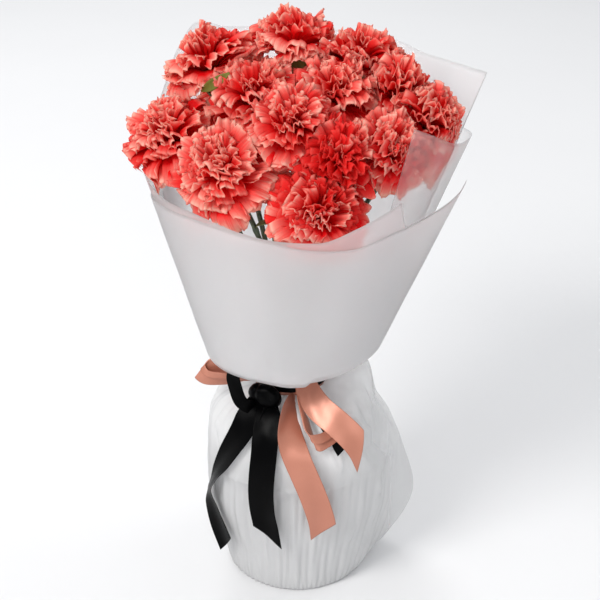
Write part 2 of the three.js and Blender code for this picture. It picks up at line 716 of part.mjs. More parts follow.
const COPPER_FRONT_TAIL = [
  [[-4, -33, 206], [1, 0, 0]], [[-6, -46, 204], [1, 0, 0]], [[-8, -60, 197], [1, 0, 0]],
  [[-7, -74, 186], [1, 0, 0.1]], [[-1, -84, 172], [1, 0, 0.25]], [[6, -89, 155], [1, 0, 0.35]],
  [[13, -90, 136], [1, 0, 0.38]], [[19, -89, 116], [1, 0, 0.36]], [[23, -87, 98], [1, 0, 0.3]],
  [[25, -85, 79], [1, 0, 0.2]],
];
const COPPER_RIGHT_TAIL = [
  [[6, -30.6, 217.6], [16, 8, 0]], [[13, -46, 216], [16, 18, 4]], [[25, -59, 208], [18, 18, 6]],
  [[40, -70, 194], [18, 16, 6]], [[52, -78, 174], [18, 12, 5]], [[59, -81, 148], [18, 8, 3]],
];
const COPPER_EAR = [
  [[-38.9, -6, 217.8], [2, -10, 0]], [[-52, -12, 221], [2, -12, 2]], [[-68, -17, 225], [2, -12, 6]],
  [[-84, -15, 224], [2, -12, 8]], [[-89, -13, 218], [2, -12, 8]], [[-80, -14, 212], [2, -12, 6]],
  [[-64, -13, 207], [2, -12, 3]], [[-38.9, -6, 205], [2, -10, 0]],
];
const COPPER_SMALL_LOOP = [
  [[6, -31, 205.4], [10, 2, 0]], [[8, -46, 204], [10, 2, 2]], [[9, -61, 198], [10, 2, 3]],
  [[12, -73, 189], [10, 2, 4]], [[15, -81, 177], [10, 2, 4]],
];

function knotGeometry({ middle, size, turn }) {
  return new THREE.IcosahedronGeometry(1, 1).scale(...size).rotateZ(radians(turn)).translate(...middle);
}

function blackRibbonGeometry() {
  const { wide, narrow } = RIBBON;
  return geometryOf(joined([
    bandGeometry(BLACK_BAND),
    knotGeometry(BLACK_KNOT),
    ribbonGeometry(BLACK_LEFT_TAIL, [narrow, wide, wide], 12),
    ribbonGeometry(BLACK_FRONT_TAIL, [narrow, wide, wide], 8),
    ribbonGeometry(BLACK_LOOP, [narrow, 18, narrow], 9),
    ribbonGeometry(BLACK_SHORT_END, [8, narrow, narrow], 5),
  ]));
}

function copperRibbonGeometry() {
  const { wide, narrow } = RIBBON;
  return geometryOf(joined([
    bandGeometry(COPPER_BAND),
    ribbonGeometry(COPPER_FRONT_TAIL, [10, wide, wide], 10),
    ribbonGeometry(COPPER_RIGHT_TAIL, [narrow, wide, wide], 7),
    ribbonGeometry(COPPER_EAR, [10, 20, 10], 11),
    ribbonGeometry(COPPER_SMALL_LOOP, [8, 12, 12], 5),
  ]));
}

// ---------------------------------------------------------------- assembly

const bunch = new THREE.Group();

function add(name, geometry, look) {
  const mesh = new THREE.Mesh(geometry, look);
  mesh.name = name;
  bunch.add(mesh);
}

add('vase', vaseGeometry(), ceramicWhite);
add('water', waterGeometry(stems.map(({ foot, neck }) => [foot, neck])), waterClear);
add('film_wrap', filmGeometry(), filmWhite);
add('stem_tie', tieGeometry(), twineStraw);
add('paper_outer', paperOnCone(PAPER_OUTER), paperFrosted);
add('paper_inner', paperOnCone(PAPER_INNER), paperFrosted);
add('paper_right', paperRightGeometry(), paperFrosted);
add('paper_back', paperOnCone(PAPER_BACK), paperFrosted);
add('copper_ribbon', copperRibbonGeometry(), satinCopper);
add('black_ribbon', blackRibbonGeometry(), satinBlack);
const numbered = (name, k) => `${name}_${String(k + 1).padStart(2, '0')}`;
stems.forEach((stem, k) => add(numbered('stem', k), stemGeometry(stem), stemGreen));
blooms.forEach((bloom, k) => add(numbered('bloom', k), bloomGeometry(bloom), petalCoral));

export default bunch;
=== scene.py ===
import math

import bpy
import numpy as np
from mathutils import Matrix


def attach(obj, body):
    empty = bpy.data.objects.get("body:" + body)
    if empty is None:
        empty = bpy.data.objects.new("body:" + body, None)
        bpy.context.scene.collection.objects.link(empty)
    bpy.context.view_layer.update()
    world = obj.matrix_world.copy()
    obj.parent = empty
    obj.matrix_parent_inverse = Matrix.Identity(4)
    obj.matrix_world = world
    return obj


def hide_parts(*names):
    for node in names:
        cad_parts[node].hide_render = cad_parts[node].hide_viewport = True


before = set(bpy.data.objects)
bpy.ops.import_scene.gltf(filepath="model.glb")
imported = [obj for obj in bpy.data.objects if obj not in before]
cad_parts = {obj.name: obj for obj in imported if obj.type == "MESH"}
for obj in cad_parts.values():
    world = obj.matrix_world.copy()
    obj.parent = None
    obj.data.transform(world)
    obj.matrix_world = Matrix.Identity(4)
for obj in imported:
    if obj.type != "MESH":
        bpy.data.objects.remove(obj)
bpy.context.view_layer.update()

# A bunch of carnations in a film-wrapped vase, with a cone of translucent paper and two satin ribbons.
# Lengths are millimetres until a mesh is made. +Z is up, -Y is the front, and angles round the bunch are
# counted from the front, positive to the right.

MM = 0.001
GOLDEN = math.radians(137.508)


# ---- driving dimensions

CAMERA = {"target": (2.7, 0.0, 284.4), "distance": 1355.7, "elevation": 30.5, "lens": 90.0, "sensor": 36.0,
          "clip_end": 100}

VASE = {"top": 128, "radius": 61, "wall": 2.5, "floor": 4, "bottom": 1.2, "sides": 96}
# height, then the film's radius at the front, the right, the back and the left, the depth of its pleats
# and the share of the loose fold on the right
FILM_ROWS = np.array([
    [0.45, 62, 62, 62, 62, 0.0, 0], [1.6, 67.5, 67.5, 67.5, 67.5, 0.3, 0.12],
    [35, 70, 82, 70, 73, 0.8, 0.8], [62, 74, 88, 73, 80, 0.9, 1], [93, 77, 94, 76, 86, 1.0, 0.62],
    [127, 79, 94, 77, 86, 1.1, 0.22], [149, 80, 91, 78, 84, 1.2, 0.05],
    [167, 77, 84, 75, 80, 2.0, 0], [181, 68, 73, 66, 71, 3.2, 0], [191, 54, 57, 53, 57, 4.4, 0],
    [202, 26, 26, 26, 26, 5.2, 0], [221, 26, 26, 26, 26, 5.2, 0],
])
FILM = {"thickness": 0.25, "neck_radius": 26, "top_layer": 4.3, "around": 420, "bottom": 0.45}
FILM_HEIGHTS = [(0.45, 0.9, 1.6, 3, 6, 10), np.linspace(15, 173, 92), np.linspace(174, 206, 52),
                np.linspace(208, 256, 24)]
# above the neck: heights, and the share of the way out to the paper cone
FILM_TOP = [(236, 0.55), (256, 1.0)]
# the heights between which the film's middle moves over to the neck
FILM_SHIFT = (140, 208)
# waves round the film: depth, number, how far and how often they sway, the sway's start, and the height in
# which they turn by one radian
FILM_WAVES = {
    "neck": [(0.45, 6, 0.4, 2, 0, math.inf), (0.34, 17, 1.4, 3, 0, 60), (0.2, 31, 2.2, 2, 1, -45)],
    "fine": [(0.34, 37, 2, 2, 0, 30)],
    "wall": [(0.45, 22, 3, 2, 0, math.inf), (0.4, 41, 4, 3, 0, 40), (0.3, 63, 5, 2, 0, -25)],
    "hem": [(0.5, 90, 3, 5, 0, math.inf)],
}
# heights where they begin, are full, begin to fade and are gone
FILM_BANDS = {"fine": (160, 185, 196, 204), "wall": (2, 14, 120, 140), "creases": (8, 30, 190, 199)}
HEM = {"z": 4, "height": 5, "above": 1}
# in metres: how high the film turns white, painted light on its shaded neck, and how far right it turns clear,
# how fast each comes, how much sooner it is clear where it is white, and the least and the further share of
# clearness
FILM_LOOK = {"painted_light_from": 0.13, "whiter": 33.0, "clear_from": 0.058, "clearer": 26.0, "sooner": 0.022,
             "least": 0.12, "further": 0.72}
# the vase's rim, which presses the film out at the left of the front
RIM = {"angle": -12, "width": 42, "out": 1.7, "sharp": 3.5, "dent": 1.2, "dent_z": 116, "dent_height": 9}
FLARE = {"angle": 96, "width": 15, "reach": 27}
# the loose shoulder on the right, which rises beside the neck to the paper
SHOULDER = {"angle": 86, "width": 26, "z": 188, "height": 9, "rise": 37, "out": 6}
# long creases of the loose film: from and to, each an angle and a height, and the depth
CREASES = [((45, 194), (66, 160), 3.5), ((66, 165), (75, 138), 4.0), ((75, 140), (60, 116), -3.5),
           ((60, 118), (56, 100), 3.0), ((30, 192), (50, 150), -3.0), ((58, 200), (84, 150), 3.0),
           ((80, 190), (98, 140), -2.5), ((20, 190), (34, 160), 2.5), ((-30, 190), (-52, 150), 2.5)]
# many small ones at the neck, a quarter of them on the wall, drawn from these ranges
SMALL_CREASES = {"count": 70, "neck_z": (138, 186), "wall_z": (25, 135), "lean": 24, "height": (14, 40),
                 "depth": (0.7, 2.4), "outward": 0.6, "sharp": 2.4, "mm_per_degree": 1.3}

NECK = np.array([-6.5, 0.0, 215.0])
STEM = {"radius": 2.2, "spacing": 5, "bundle": 12.4, "foot": 12, "spread": 1.7, "bend": 0.3}
BLOOM_CIRCLE = {"radius": 125, "y": 4}
# the thicker joints along a stem
JOINT = {"out": 0.55, "apart": 92, "length": 3.0, "shift": 17}
CALYX_LENGTH = 26
# along the calyx, its radius, and how far out its bracts lie
CALYX_OUTLINE = [(-1, 2.3), (0, 2.9), (3, 4.4), (8, 6.0), (14, 6.3), (20, 6.8), (26, 7.8)]
BRACT_CLEAR = [(-2, 3.2), (0, 3.6), (3, 5.1), (10, 7.0), (26, 8.6)]
TIE = {"radius": 17.0, "cord": 1.0, "bottom": 210.2, "turns": 3, "pitch": 2.05}

PAPER = {"thickness": 0.16, "pitch": 1.6, "bottom_radius": 75.5, "bottom_z": 230, "slope": 0.347}
CONE_LEAN = {"bottom": (-5.5, -0.25), "top": (6.5, 8.3), "rise": 170}
# each sheet on the cone: its layer, and the chains of (angle, height) along its bottom and its top edge
PAPER_SHEETS = {
    "paper_outer": (
        0,
        [(-104, 243), (-75, 240), (-19, 245), (0, 242), (8, 242), (14, 250), (60, 252), (98, 244)],
        [(-108, 380), (-80, 398), (-64, 410), (-35, 418), (-16, 413), (3, 404), (16, 402), (34, 413),
         (53, 418), (66, 418), (78, 414)],
    ),
    "paper_inner": (
        1,
        [(-112, 243), (-75, 242), (-19, 247), (0, 245), (66, 252)],
        [(-116, 388), (-90, 410), (-76, 424), (-60, 420), (-40, 423), (-22, 416), (-10, 412), (4, 411),
         (17, 424), (29.6, 442)],
    ),
    "paper_back": (
        3,
        [(100, 246), (180, 244), (276, 246)],
        [(105, 482), (118, 476), (136, 472), (150, 477), (180, 480), (208, 487), (220, 497), (228, 484),
         (240, 456), (252, 436), (262, 424)],
    ),
}
# the right-hand sheet: its top edge, free and then as (angle, height) on the cone, its bottom edge, its layer,
# and how far to the right a bloom has to stand for the sheet to lean on it
PAPER_RIGHT = {"free_top": [(93, -80, 488), (110, -62, 474), (127, -40, 458), (141, -4, 442)],
               "cone_top": [(97, 436), (114, 430)], "from": 34, "to": 116, "bottom": 250.0, "layer": 1.9,
               "leans_from": 70}

BLOOM_FOCUS = np.array([0.0, 0.0, 300.0])
RECEPTACLE = 14
# x, y, z of the middle, radius, and the turn of its petals in degrees
BLOOMS = [
    (-78, 44, 498, 40, 20), (-2, 64, 509, 43, 250), (55, 46, 500, 41, 70), (87, 12, 485, 38, 182),
    (113, -14, 469, 39, 285), (-108, -14, 453, 43, 232), (-37, -2, 485, 42, 110), (-4, -52, 480, 41, 40),
    (-62, -72, 449, 42, 262), (17, -104, 427, 42, 330), (76, -56, 458, 40, 300), (33, 0, 486, 42, 15),
    (34, -74, 461, 38, 340), (-50, 100, 450, 41, 90), (50, 102, 452, 41, 60),
]
PETALS = {"count": 54, "columns": 35, "thickness": 0.3}
PETAL_ROWS = (0, 0.2, 0.38, 0.54, 0.68, 0.8, 0.89, 0.95, 1)
# how far a petal starts from the axis, how round its end is, how much it cups and crinkles
PETAL_SHAPE = {"start": 1.2, "round": 0.13, "square": 0.05, "cup": 0.16, "crinkle": 1.3, "lowest_bend": 2.0}
TOOTH = 0.028
# along the bloom's petals, from the guard petals (0) to the middle ones (1)
PETAL_COURSES = {
    "reach": [(0, 0.96), (0.16, 1.06), (0.32, 1.03), (0.48, 0.9), (0.64, 0.68), (0.82, 0.42), (1, 0.12)],
    "tip": [(0, -25), (0.16, -15), (0.32, -3), (0.48, 8), (0.64, 17), (0.82, 23), (1, 26)],
    "width": [(0, 21), (0.3, 17), (0.6, 12.5), (1, 8)],
    "waves": [(0, 1.5), (0.3, 2.1), (0.6, 2.3), (1, 1.9)],
    "depth": [(0, 2.6), (0.25, 4.2), (0.6, 4.8), (1, 3.2)],
    "bow_out": [(0, 0.8), (0.4, 0.42), (1, 0.3)],
    "bow_up": [(0, 3.4), (0.16, 3.0), (0.32, 1.5), (0.6, 0.9), (1, 0.6)],
}
# what each hanging guard petal has instead; its pale share makes its outer part lighter, as painted light
GUARD_COURSE = {"waves": 1.2, "depth": 2.0, "bow_out": 0.95, "bow_up": 3.2, "pale": 0.9}
# petals near this place are a deeper red, painted shade among the crowded front blooms: place, reach, share
SHADED_HEART = {"place": (30, -82, 446), "reach": 40, "share": 0.62}
# blooms whose lower petals stand higher, so that the calyx shows
LIFTED = {1: 6, 2: 3}
# how much longer the petals of a bloom are on one side: direction from the front, spread, change
UNEVEN = {
    1: [(-110, 60, -0.25), (180, 50, -0.32)], 3: [(175, 60, -0.38)], 4: [(125, 50, -0.2)],
    5: [(120, 55, -0.25)], 6: [(-85, 55, 0.3), (15, 42, -0.3)], 9: [(-62, 48, -0.34)],
    10: [(85, 45, -0.16), (-50, 30, -0.17)], 11: [(10, 50, -0.38)], 13: [(70, 40, -0.25)],
}
# how much lower a bloom's inner petals stand on one side: direction from the front, spread, millimetres
LOWERED = {
    1: [(-125, 85, 13)], 2: [(100, 60, 4)], 3: [(-140, 90, 13)], 4: [(110, 70, 5)], 5: [(110, 70, 8)],
}
# large guard petals that hang out of a bloom: the way they point in degrees from the front, the reach and
# the height of the tip, half the width
GUARDS = {
    1: [(-75, 42, -24, 18), (-40, 40, -24, 17), (80, 43, -6, 17), (-58, 42, -28, 18)],
    2: [(85, 42, -9, 16), (-80, 40, -12, 16), (-105, 45, -4, 18), (-60, 42, -9, 16)],
    3: [(-70, 40, -14, 17), (-20, 38, -26, 18)], 4: [(0, 38, -28, 18)],
    5: [(45, 46, -44, 19), (25, 44, -40, 20), (60, 46, -38, 20), (95, 42, -32, 18), (0, 38, -26, 18)],
    6: [(-85, 46, -20, 19), (-40, 37, -24, 18), (30, 42, -30, 19), (75, 42, -26, 18), (150, 43, -6, 18),
        (200, 44, -4, 18), (105, 44, -8, 17)],
    7: [(0, 38, -30, 18), (60, 38, -28, 18), (-60, 40, -20, 18)],
    8: [(-35, 36, -33, 19), (20, 38, -36, 19), (75, 36, -28, 17), (-85, 38, -30, 18)],
    9: [(-36, 38, -28, 16), (-8, 41, -32, 14), (55, 40, -27, 15), (110, 44, -20, 18)],
    10: [(-70, 38, -16, 17), (72, 45, -2, 13)], 11: [(75, 40, -16, 19), (-65, 41, -14, 21)],
    12: [(10, 36, -30, 18), (-50, 38, -28, 18)],
    13: [(-60, 38, -24, 18), (75, 34, -12, 18), (30, 34, -14, 17)],
}
# how blooms press on each other: from how near, how softly, and how far petals may mingle
PRESS = {"near": 12, "softening": 5.0, "turns": 3, "gap": 0.3, "mingle": (0.0, 9.0)}
# how far inside the paper petals stay, and how they hang out over its edge, sooner on the left and above the
# back sheet's own edge behind
CONE_ROOM = {"layer": 3.75, "free_above": 440, "freeing": 0.8, "left_above": 424, "left_freeing": 1.0,
             "back_clear": 3}

# stem, place along its upper part, the way the leaf points in degrees from the front, its length
LEAVES = [(1, 0.9, 40, 34), (2, 0.9, -20, 34), (9, 0.8, 60, 36), (10, 0.78, -70, 36), (11, 0.8, -60, 34),
          (6, 0.75, 150, 36), (14, 0.8, 180, 34), (15, 0.8, 170, 34)]
LEAF_ROWS = [(0, 0, 0.5), (0.35, 0.42, 1), (0.75, 0.6, 0.8), (1, 0.5, 0.15)]
BRACT_SCALE = {1: 2.1, 2: 2.1}
# sepals between the blooms: bloom, where it starts, bends and ends, the way its width runs, its width
SEPALS = [(1, (-80, 4, 485), (-69, -9, 497), (-55, -17, 510), (-0.45, 0.2, 0.8), 9),
          (2, (-21, 25, 502), (-4, 29, 497), (14, 25, 500), (0.1, 0.3, 0.95), 11)]
LEAF = {"width": 6, "thickness": 0.5, "reach": 0.8, "rise": 0.6, "fold": 0.9}

RIBBON = {"thickness": 0.3, "flat_width": 25, "fold_pitch": 0.7, "bow": 0.7, "sway": 0.5, "columns": 41,
          "steps": 90}
# radius, bottom, top, and the share of that height that each folded layer covers, outer one first
BANDS = {"copper": (33.8, 203.4, 219.1, (1, 0.6)), "black": (35.2, 207.3, 214.7, (1, 1, 1))}
BAND_PITCH, BAND_THICKNESS = 0.6, 0.2
# waves of a band: depth, number round it and turn for each millimetre of height
BAND_WAVES = ((0.22, 13, 0.7), (0.12, 31, -0.4))
# folds: depth, number round the knot and turn along it. waist: depth, place and width
BLACK_KNOT = {"middle": (-29, -41, 208), "size": (17, 10, 12.5), "turn": -33,
              "folds": ((0.05, 3, 2.2), (0.012, 7, -4)), "waist": (0.12, -0.35, 0.14)}

# each length of ribbon: its points, each a place and then the way its width runs; its widths at the start,
# along its middle and at its end; how far its cut end slants; how it is held
RIBBONS = {
    "black_left_tail": ("black", [
        (-33, -42, 205, 20, -15, -3), (-42, -53, 197, 20, -15, -3), (-51, -61, 181, 20, -17, -1),
        (-62, -60, 160, 18, -18, 4), (-71, -54, 138, 14, -19, 9), (-79, -45, 116, 6, -20, 13),
        (-83, -39, 100, 4, -21, 12), (-81, -40, 84, 12, -20, 9), (-74, -46, 60, 17, -17, 6),
        (-64, -54, 34, 19, -15, 2)],
        (21, 25, 25), -16, "hung"),
    "black_front_tail": ("black", [
        (-28, -43, 205, 24, -8, 0), (-26, -58, 199, 24, -8, 0), (-28, -72, 186, 24, -8, 0),
        (-30, -80, 168, 23, -9, 0), (-32, -84, 150, 23, -9, 0), (-33, -84, 130, 23, -9, 0),
        (-32, -83, 110, 23, -9, 0), (-29, -82, 90, 23, -8, 0), (-26, -81, 66, 23, -8, 0)],
        (20, 25, 25), 18, "hung"),
    "black_loop": ("black", [
        (-33, -44, 199.5, 0.3, 0.5, 0.8), (-42, -50, 201.5, 0.5, 0.43, 0.73),
        (-50, -51.5, 208, 0.82, 0.3, 0.45), (-55, -48, 220, 0.97, 0.15, 0.15), (-57, -43, 233, 1, 0.05, 0.05),
        (-50, -40, 239, 0.9, -0.4, -0.2), (-38, -38, 226, 0.6, -0.7, 0.3)],
        (11, 12, 12), 0, "folded"),
    "black_short_end": ("black", [
        (8.4, -31.9, 211, 12, 9, 0), (15, -42, 206, 12, 6, 2), (22, -54, 197, 12, 5, 4),
        (31, -64, 184, 11, 3, 7), (39, -72, 165, 10, 1, 8)],
        (8, 14, 15), 4, "hung"),
    "copper_front_tail": ("copper", [
        (-4, -33, 206, 0.35, 0.8, -0.4), (-7, -46, 204, 0.4, 0.8, -0.4), (-8, -60, 197, 0.6, 0.7, -0.3),
        (-6, -74, 186, 0.85, 0.45, -0.1), (-1, -84, 172, 1, 0.1, 0.2), (6, -89, 155, 1, 0, 0.35),
        (13, -90, 136, 1, 0, 0.38), (19, -89, 116, 1, 0, 0.36), (23, -87, 98, 1, 0, 0.3),
        (25, -85, 79, 1, 0, 0.2)],
        (16, 25, 25), -14, "hung"),
    "copper_right_tail": ("copper", [
        (6, -30.6, 217.6, 0.7, 0.5, 0.3), (9, -42, 214.5, 0.66, 0.5, 0.5), (14, -52, 211, 0.62, 0.42, 0.65),
        (22, -61, 205.5, 0.64, 0.38, 0.65), (33.5, -70, 200, 0.7, 0.36, 0.6), (46, -77, 191, 0.79, 0.3, 0.52),
        (57.5, -81, 177.5, 0.88, 0.22, 0.4), (66, -83, 158, 0.94, 0.16, 0.28)],
        (20, 25, 25), -27, "hung"),
    "copper_ear": ("copper", [
        (-38.9, -8, 216, 2, -8, 6), (-52, -11, 219, 2, -4, 12), (-67, -14, 223, 2, -1, 14),
        (-80, -16, 224, 4, 0, 13), (-89, -18, 220, 7, -1, 10), (-84, -21, 215, 4, -3, 12),
        (-67, -21, 213, 2, -5, 12), (-38.9, -11, 207, 2, -8, 6)],
        (13, 18, 13), 0, "folded"),
    "copper_small_loop": ("copper", [
        (6, -31, 205.4, -0.3, 0, 1), (3, -46, 204, -0.35, -0.2, 0.9), (7, -60, 198, -0.46, -0.5, 0.72),
        (10.5, -71, 190, -0.46, -0.48, 0.74), (14, -78, 183.5, -0.3, 0, 0.95),
        (20, -77, 181.5, -0.1, 0.4, 0.9), (28, -71, 182, -0.05, 0.5, 0.86), (38, -64, 185, -0.05, 0.5, 0.86)],
        (8, 16, 15), 0, "folded"),
}
# the shares of a ribbon's length between which it has its middle width
KEPT_SIZE = {"wide_from": 0.14, "end_from": 0.9}

FLOOR_HALF = 6.0  # metres
SKY = {"colour": (0.96, 0.98, 1.0, 1), "strength": 0.62}
# each lamp: place and aim in metres, size, watts, tint
LAMPS = {
    "key": ((-1.4, -1.4, 2.2), (0, 0, 0.35), 0.95, 46, (1.0, 0.985, 0.96)),
    "front": ((-0.3, -2.7, 1.1), (0, 0, 0.3), 1.6, 14, (1, 1, 1)),
    "right": ((1.5, 0.5, 2.2), (0.2, 0, 0.1), 1.0, 9, (1, 1, 1)),
    "rim": ((-0.6, 1.6, 1.7), (0, 0, 0.4), 1.0, 14, (1, 1, 1)),
}


# ---- numbers and curves

def draw(n):
    """A repeatable number from 0 to 1 for each whole number."""
    s = np.sin(np.asarray(n, float) * 12.9898 + 4.1414) * 43758.5453
    return s - np.floor(s)


def unit(v):
    return v / np.maximum(np.linalg.norm(v, axis=-1, keepdims=True), 1e-9)


def smooth(x, low, high):
    t = np.clip((x - low) / (high - low), 0, 1)
    return t * t * (3 - 2 * t)


def between(x, low, full, still, high):
    return smooth(x, low, full) * (1 - smooth(x, still, high))


def bell(x, spread):
    return np.exp(-((x / spread) ** 2))


def lerp(a, b, t):
    return a + (b - a) * t


def shares(count):
    return np.linspace(0, 1, count)


def circle(count):
    return np.linspace(0, 2 * math.pi, count, endpoint=False)


def xyz(*parts):
    """Parts broadcast together and set side by side along a last axis."""
    return np.stack(np.broadcast_arrays(*parts), -1)


def way(degrees):
    """The level way at an angle from the front."""
    angle = np.radians(degrees)
    return xyz(np.sin(angle), -np.cos(angle), 0.0)


def off_by(degrees, direction):
    return (degrees - direction + 180) % 360 - 180


def chain(pairs, x):
    """A smooth curve through (place, value) pairs that never overshoots them."""
    xs, ys = np.array(pairs, float).T
    step = np.diff(xs)
    slope = np.diff(ys) / step
    tangent = np.zeros(len(xs))
    same = slope[:-1] * slope[1:] > 0
    tangent[1:-1][same] = 2 * slope[:-1][same] * slope[1:][same] / (slope[:-1] + slope[1:])[same]
    tangent[0], tangent[-1] = slope[0], slope[-1]
    x = np.clip(x, xs[0], xs[-1])
    k = np.clip(np.searchsorted(xs, x, side="right") - 1, 0, len(step) - 1)
    t = (x - xs[k]) / step[k]
    return (
        ys[k] * (1 + 2 * t) * (1 - t) ** 2 + step[k] * tangent[k] * t * (1 - t) ** 2
        + ys[k + 1] * t * t * (3 - 2 * t) + step[k] * tangent[k + 1] * t * t * (t - 1)
    )


def curve(points, t):
    """A centripetal Catmull-Rom curve through points, at shares t of its spans."""
    p = np.array(points, float)
    p = np.concatenate([[2 * p[0] - p[1]], p, [2 * p[-1] - p[-2]]])
    spans = len(points) - 1
    place = np.clip(np.asarray(t, float) * spans, 0, spans)
    k = np.minimum(np.floor(place).astype(int), spans - 1)
    w = (place - k)[:, None]
    p0, p1, p2, p3 = p[k], p[k + 1], p[k + 2], p[k + 3]
    d0, d1, d2 = (np.sqrt(np.maximum(np.linalg.norm(b - a, axis=1), 1e-6))[:, None]
                  for a, b in ((p0, p1), (p1, p2), (p2, p3)))
    m1 = ((p1 - p0) / d0 - (p2 - p0) / (d0 + d1) + (p2 - p1) / d1) * d1
    m2 = ((p2 - p1) / d1 - (p3 - p1) / (d1 + d2) + (p3 - p2) / d2) * d1
    return p1 + m1 * w + (3 * (p2 - p1) - 2 * m1 - m2) * w**2 + (2 * (p1 - p2) + m1 + m2) * w**3


# ---- meshes

def new_object(name, data):
    made = bpy.data.objects.new(name, data)
    bpy.context.scene.collection.objects.link(made)
    return made


def piece(name, points, faces, look, slot, node, marks=None):
    """A smooth-shaded piece in a node's place, from points in millimetres and one array of faces, or several
    where some have three corners and others four."""
    faces = [np.asarray(f, np.int32) for f in ([faces] if isinstance(faces, np.ndarray) else faces)]
    corners = np.concatenate([f.ravel() for f in faces])
    sizes = np.concatenate([np.full(len(f), f.shape[1], np.int32) for f in faces])
    mesh = bpy.data.meshes.new(name)
    mesh.vertices.add(len(points))
    mesh.vertices.foreach_set("co", (np.asarray(points) * MM).astype(np.float32).ravel())
    mesh.loops.add(len(corners))
    mesh.loops.foreach_set("vertex_index", corners)
    mesh.polygons.add(len(sizes))
    mesh.polygons.foreach_set("loop_start", np.concatenate([[0], np.cumsum(sizes)[:-1]]).astype(np.int32))
    mesh.polygons.foreach_set("use_smooth", np.ones(len(sizes), bool))
    mesh.update(calc_edges=True)
    if marks is not None:
        layer = mesh.color_attributes.new("marks", "FLOAT_COLOR", "POINT")
        filled = np.concatenate([marks, np.ones((len(marks), 1))], axis=1)
        layer.data.foreach_set("color", filled.astype(np.float32).ravel())
    mesh.materials.append(look)
    made = new_object(name, mesh)
    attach(made, "root")
    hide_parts(node)
    return made


def thin_solids(grids, thickness, closed=False):
    """Points and quads of closed solids of even thickness round grids shaped (pieces, rows, columns, 3)."""
    pieces, rows, columns = grids.shape[:3]
    along = np.gradient(grids, axis=1)
    if closed:
        across = np.roll(grids, -1, axis=2) - np.roll(grids, 1, axis=2)
    else:
        across = np.gradient(grids, axis=2)
    normal = unit(np.cross(across, along)) * thickness / 2
    points = np.concatenate([(grids + side).reshape(pieces, -1, 3) for side in (normal, -normal)], 1)
    index = np.arange(rows * columns).reshape(rows, columns)
    if closed:
        index = np.concatenate([index, index[:, :1]], axis=1)
    quads = np.stack([index[:-1, :-1], index[:-1, 1:], index[1:, 1:], index[1:, :-1]], -1).reshape(-1, 4)
    under = rows * columns
    rims = [(index[0, :-1], index[0, 1:]), (index[-1, 1:], index[-1, :-1])]
    if not closed:
        rims += [(index[:-1, -1], index[1:, -1]), (index[1:, 0], index[:-1, 0])]
    sides = np.concatenate([np.stack([b, a, under + a, under + b], -1) for a, b in rims])
    one = np.concatenate([quads, quads[:, ::-1] + under, sides])
    offsets = (np.arange(pieces) * 2 * under)[:, None, None]
    return points.reshape(-1, 3), (one[None] + offsets).reshape(-1, 4)


def ring_faces(count, sides):
    """Quads between rings of points, and a fan at each end round one of the two points that follow them."""
    index = np.arange(count * sides).reshape(count, sides)
    after = np.roll(index, -1, axis=1)
    quads = np.stack([index[:-1], after[:-1], after[1:], index[1:]], -1).reshape(-1, 4)
    fans = [(after[0], index[0]), (index[-1], after[-1])]
    return quads, np.concatenate([xyz(*fan, count * sides + k) for k, fan in enumerate(fans)])


def tube(centres, radii, sides, start=(0.0, 1.0, 0.0)):
    """Points and faces of a closed round bar. radii is one number a ring, or one for each of its points."""
    centres = np.asarray(centres, float)
    along = unit(np.gradient(centres, axis=0))
    side = unit(np.cross(np.array(start), along))
    turn = circle(sides)[:, None]
    radii = np.asarray(radii, float).reshape(len(centres), -1, 1)
    other = np.cross(along, side)
    rings = centres[:, None] + radii * (np.cos(turn) * side[:, None] + np.sin(turn) * other[:, None])
    points = np.concatenate([rings.reshape(-1, 3), centres[:1], centres[-1:]])
    return (points, *ring_faces(len(centres), sides))


def join(parts):
    """Several (points, quads, triangles) as one."""
    points, quads, triangles = [], [], []
    base = 0
    for p, q, t in parts:
        points.append(p)
        quads.append(q + base)
        if t is not None:
            triangles.append(t + base)
        base += len(p)
    faces = [np.concatenate(quads)] + ([np.concatenate(triangles)] if triangles else [])
    return np.concatenate(points), faces


# ---- materials

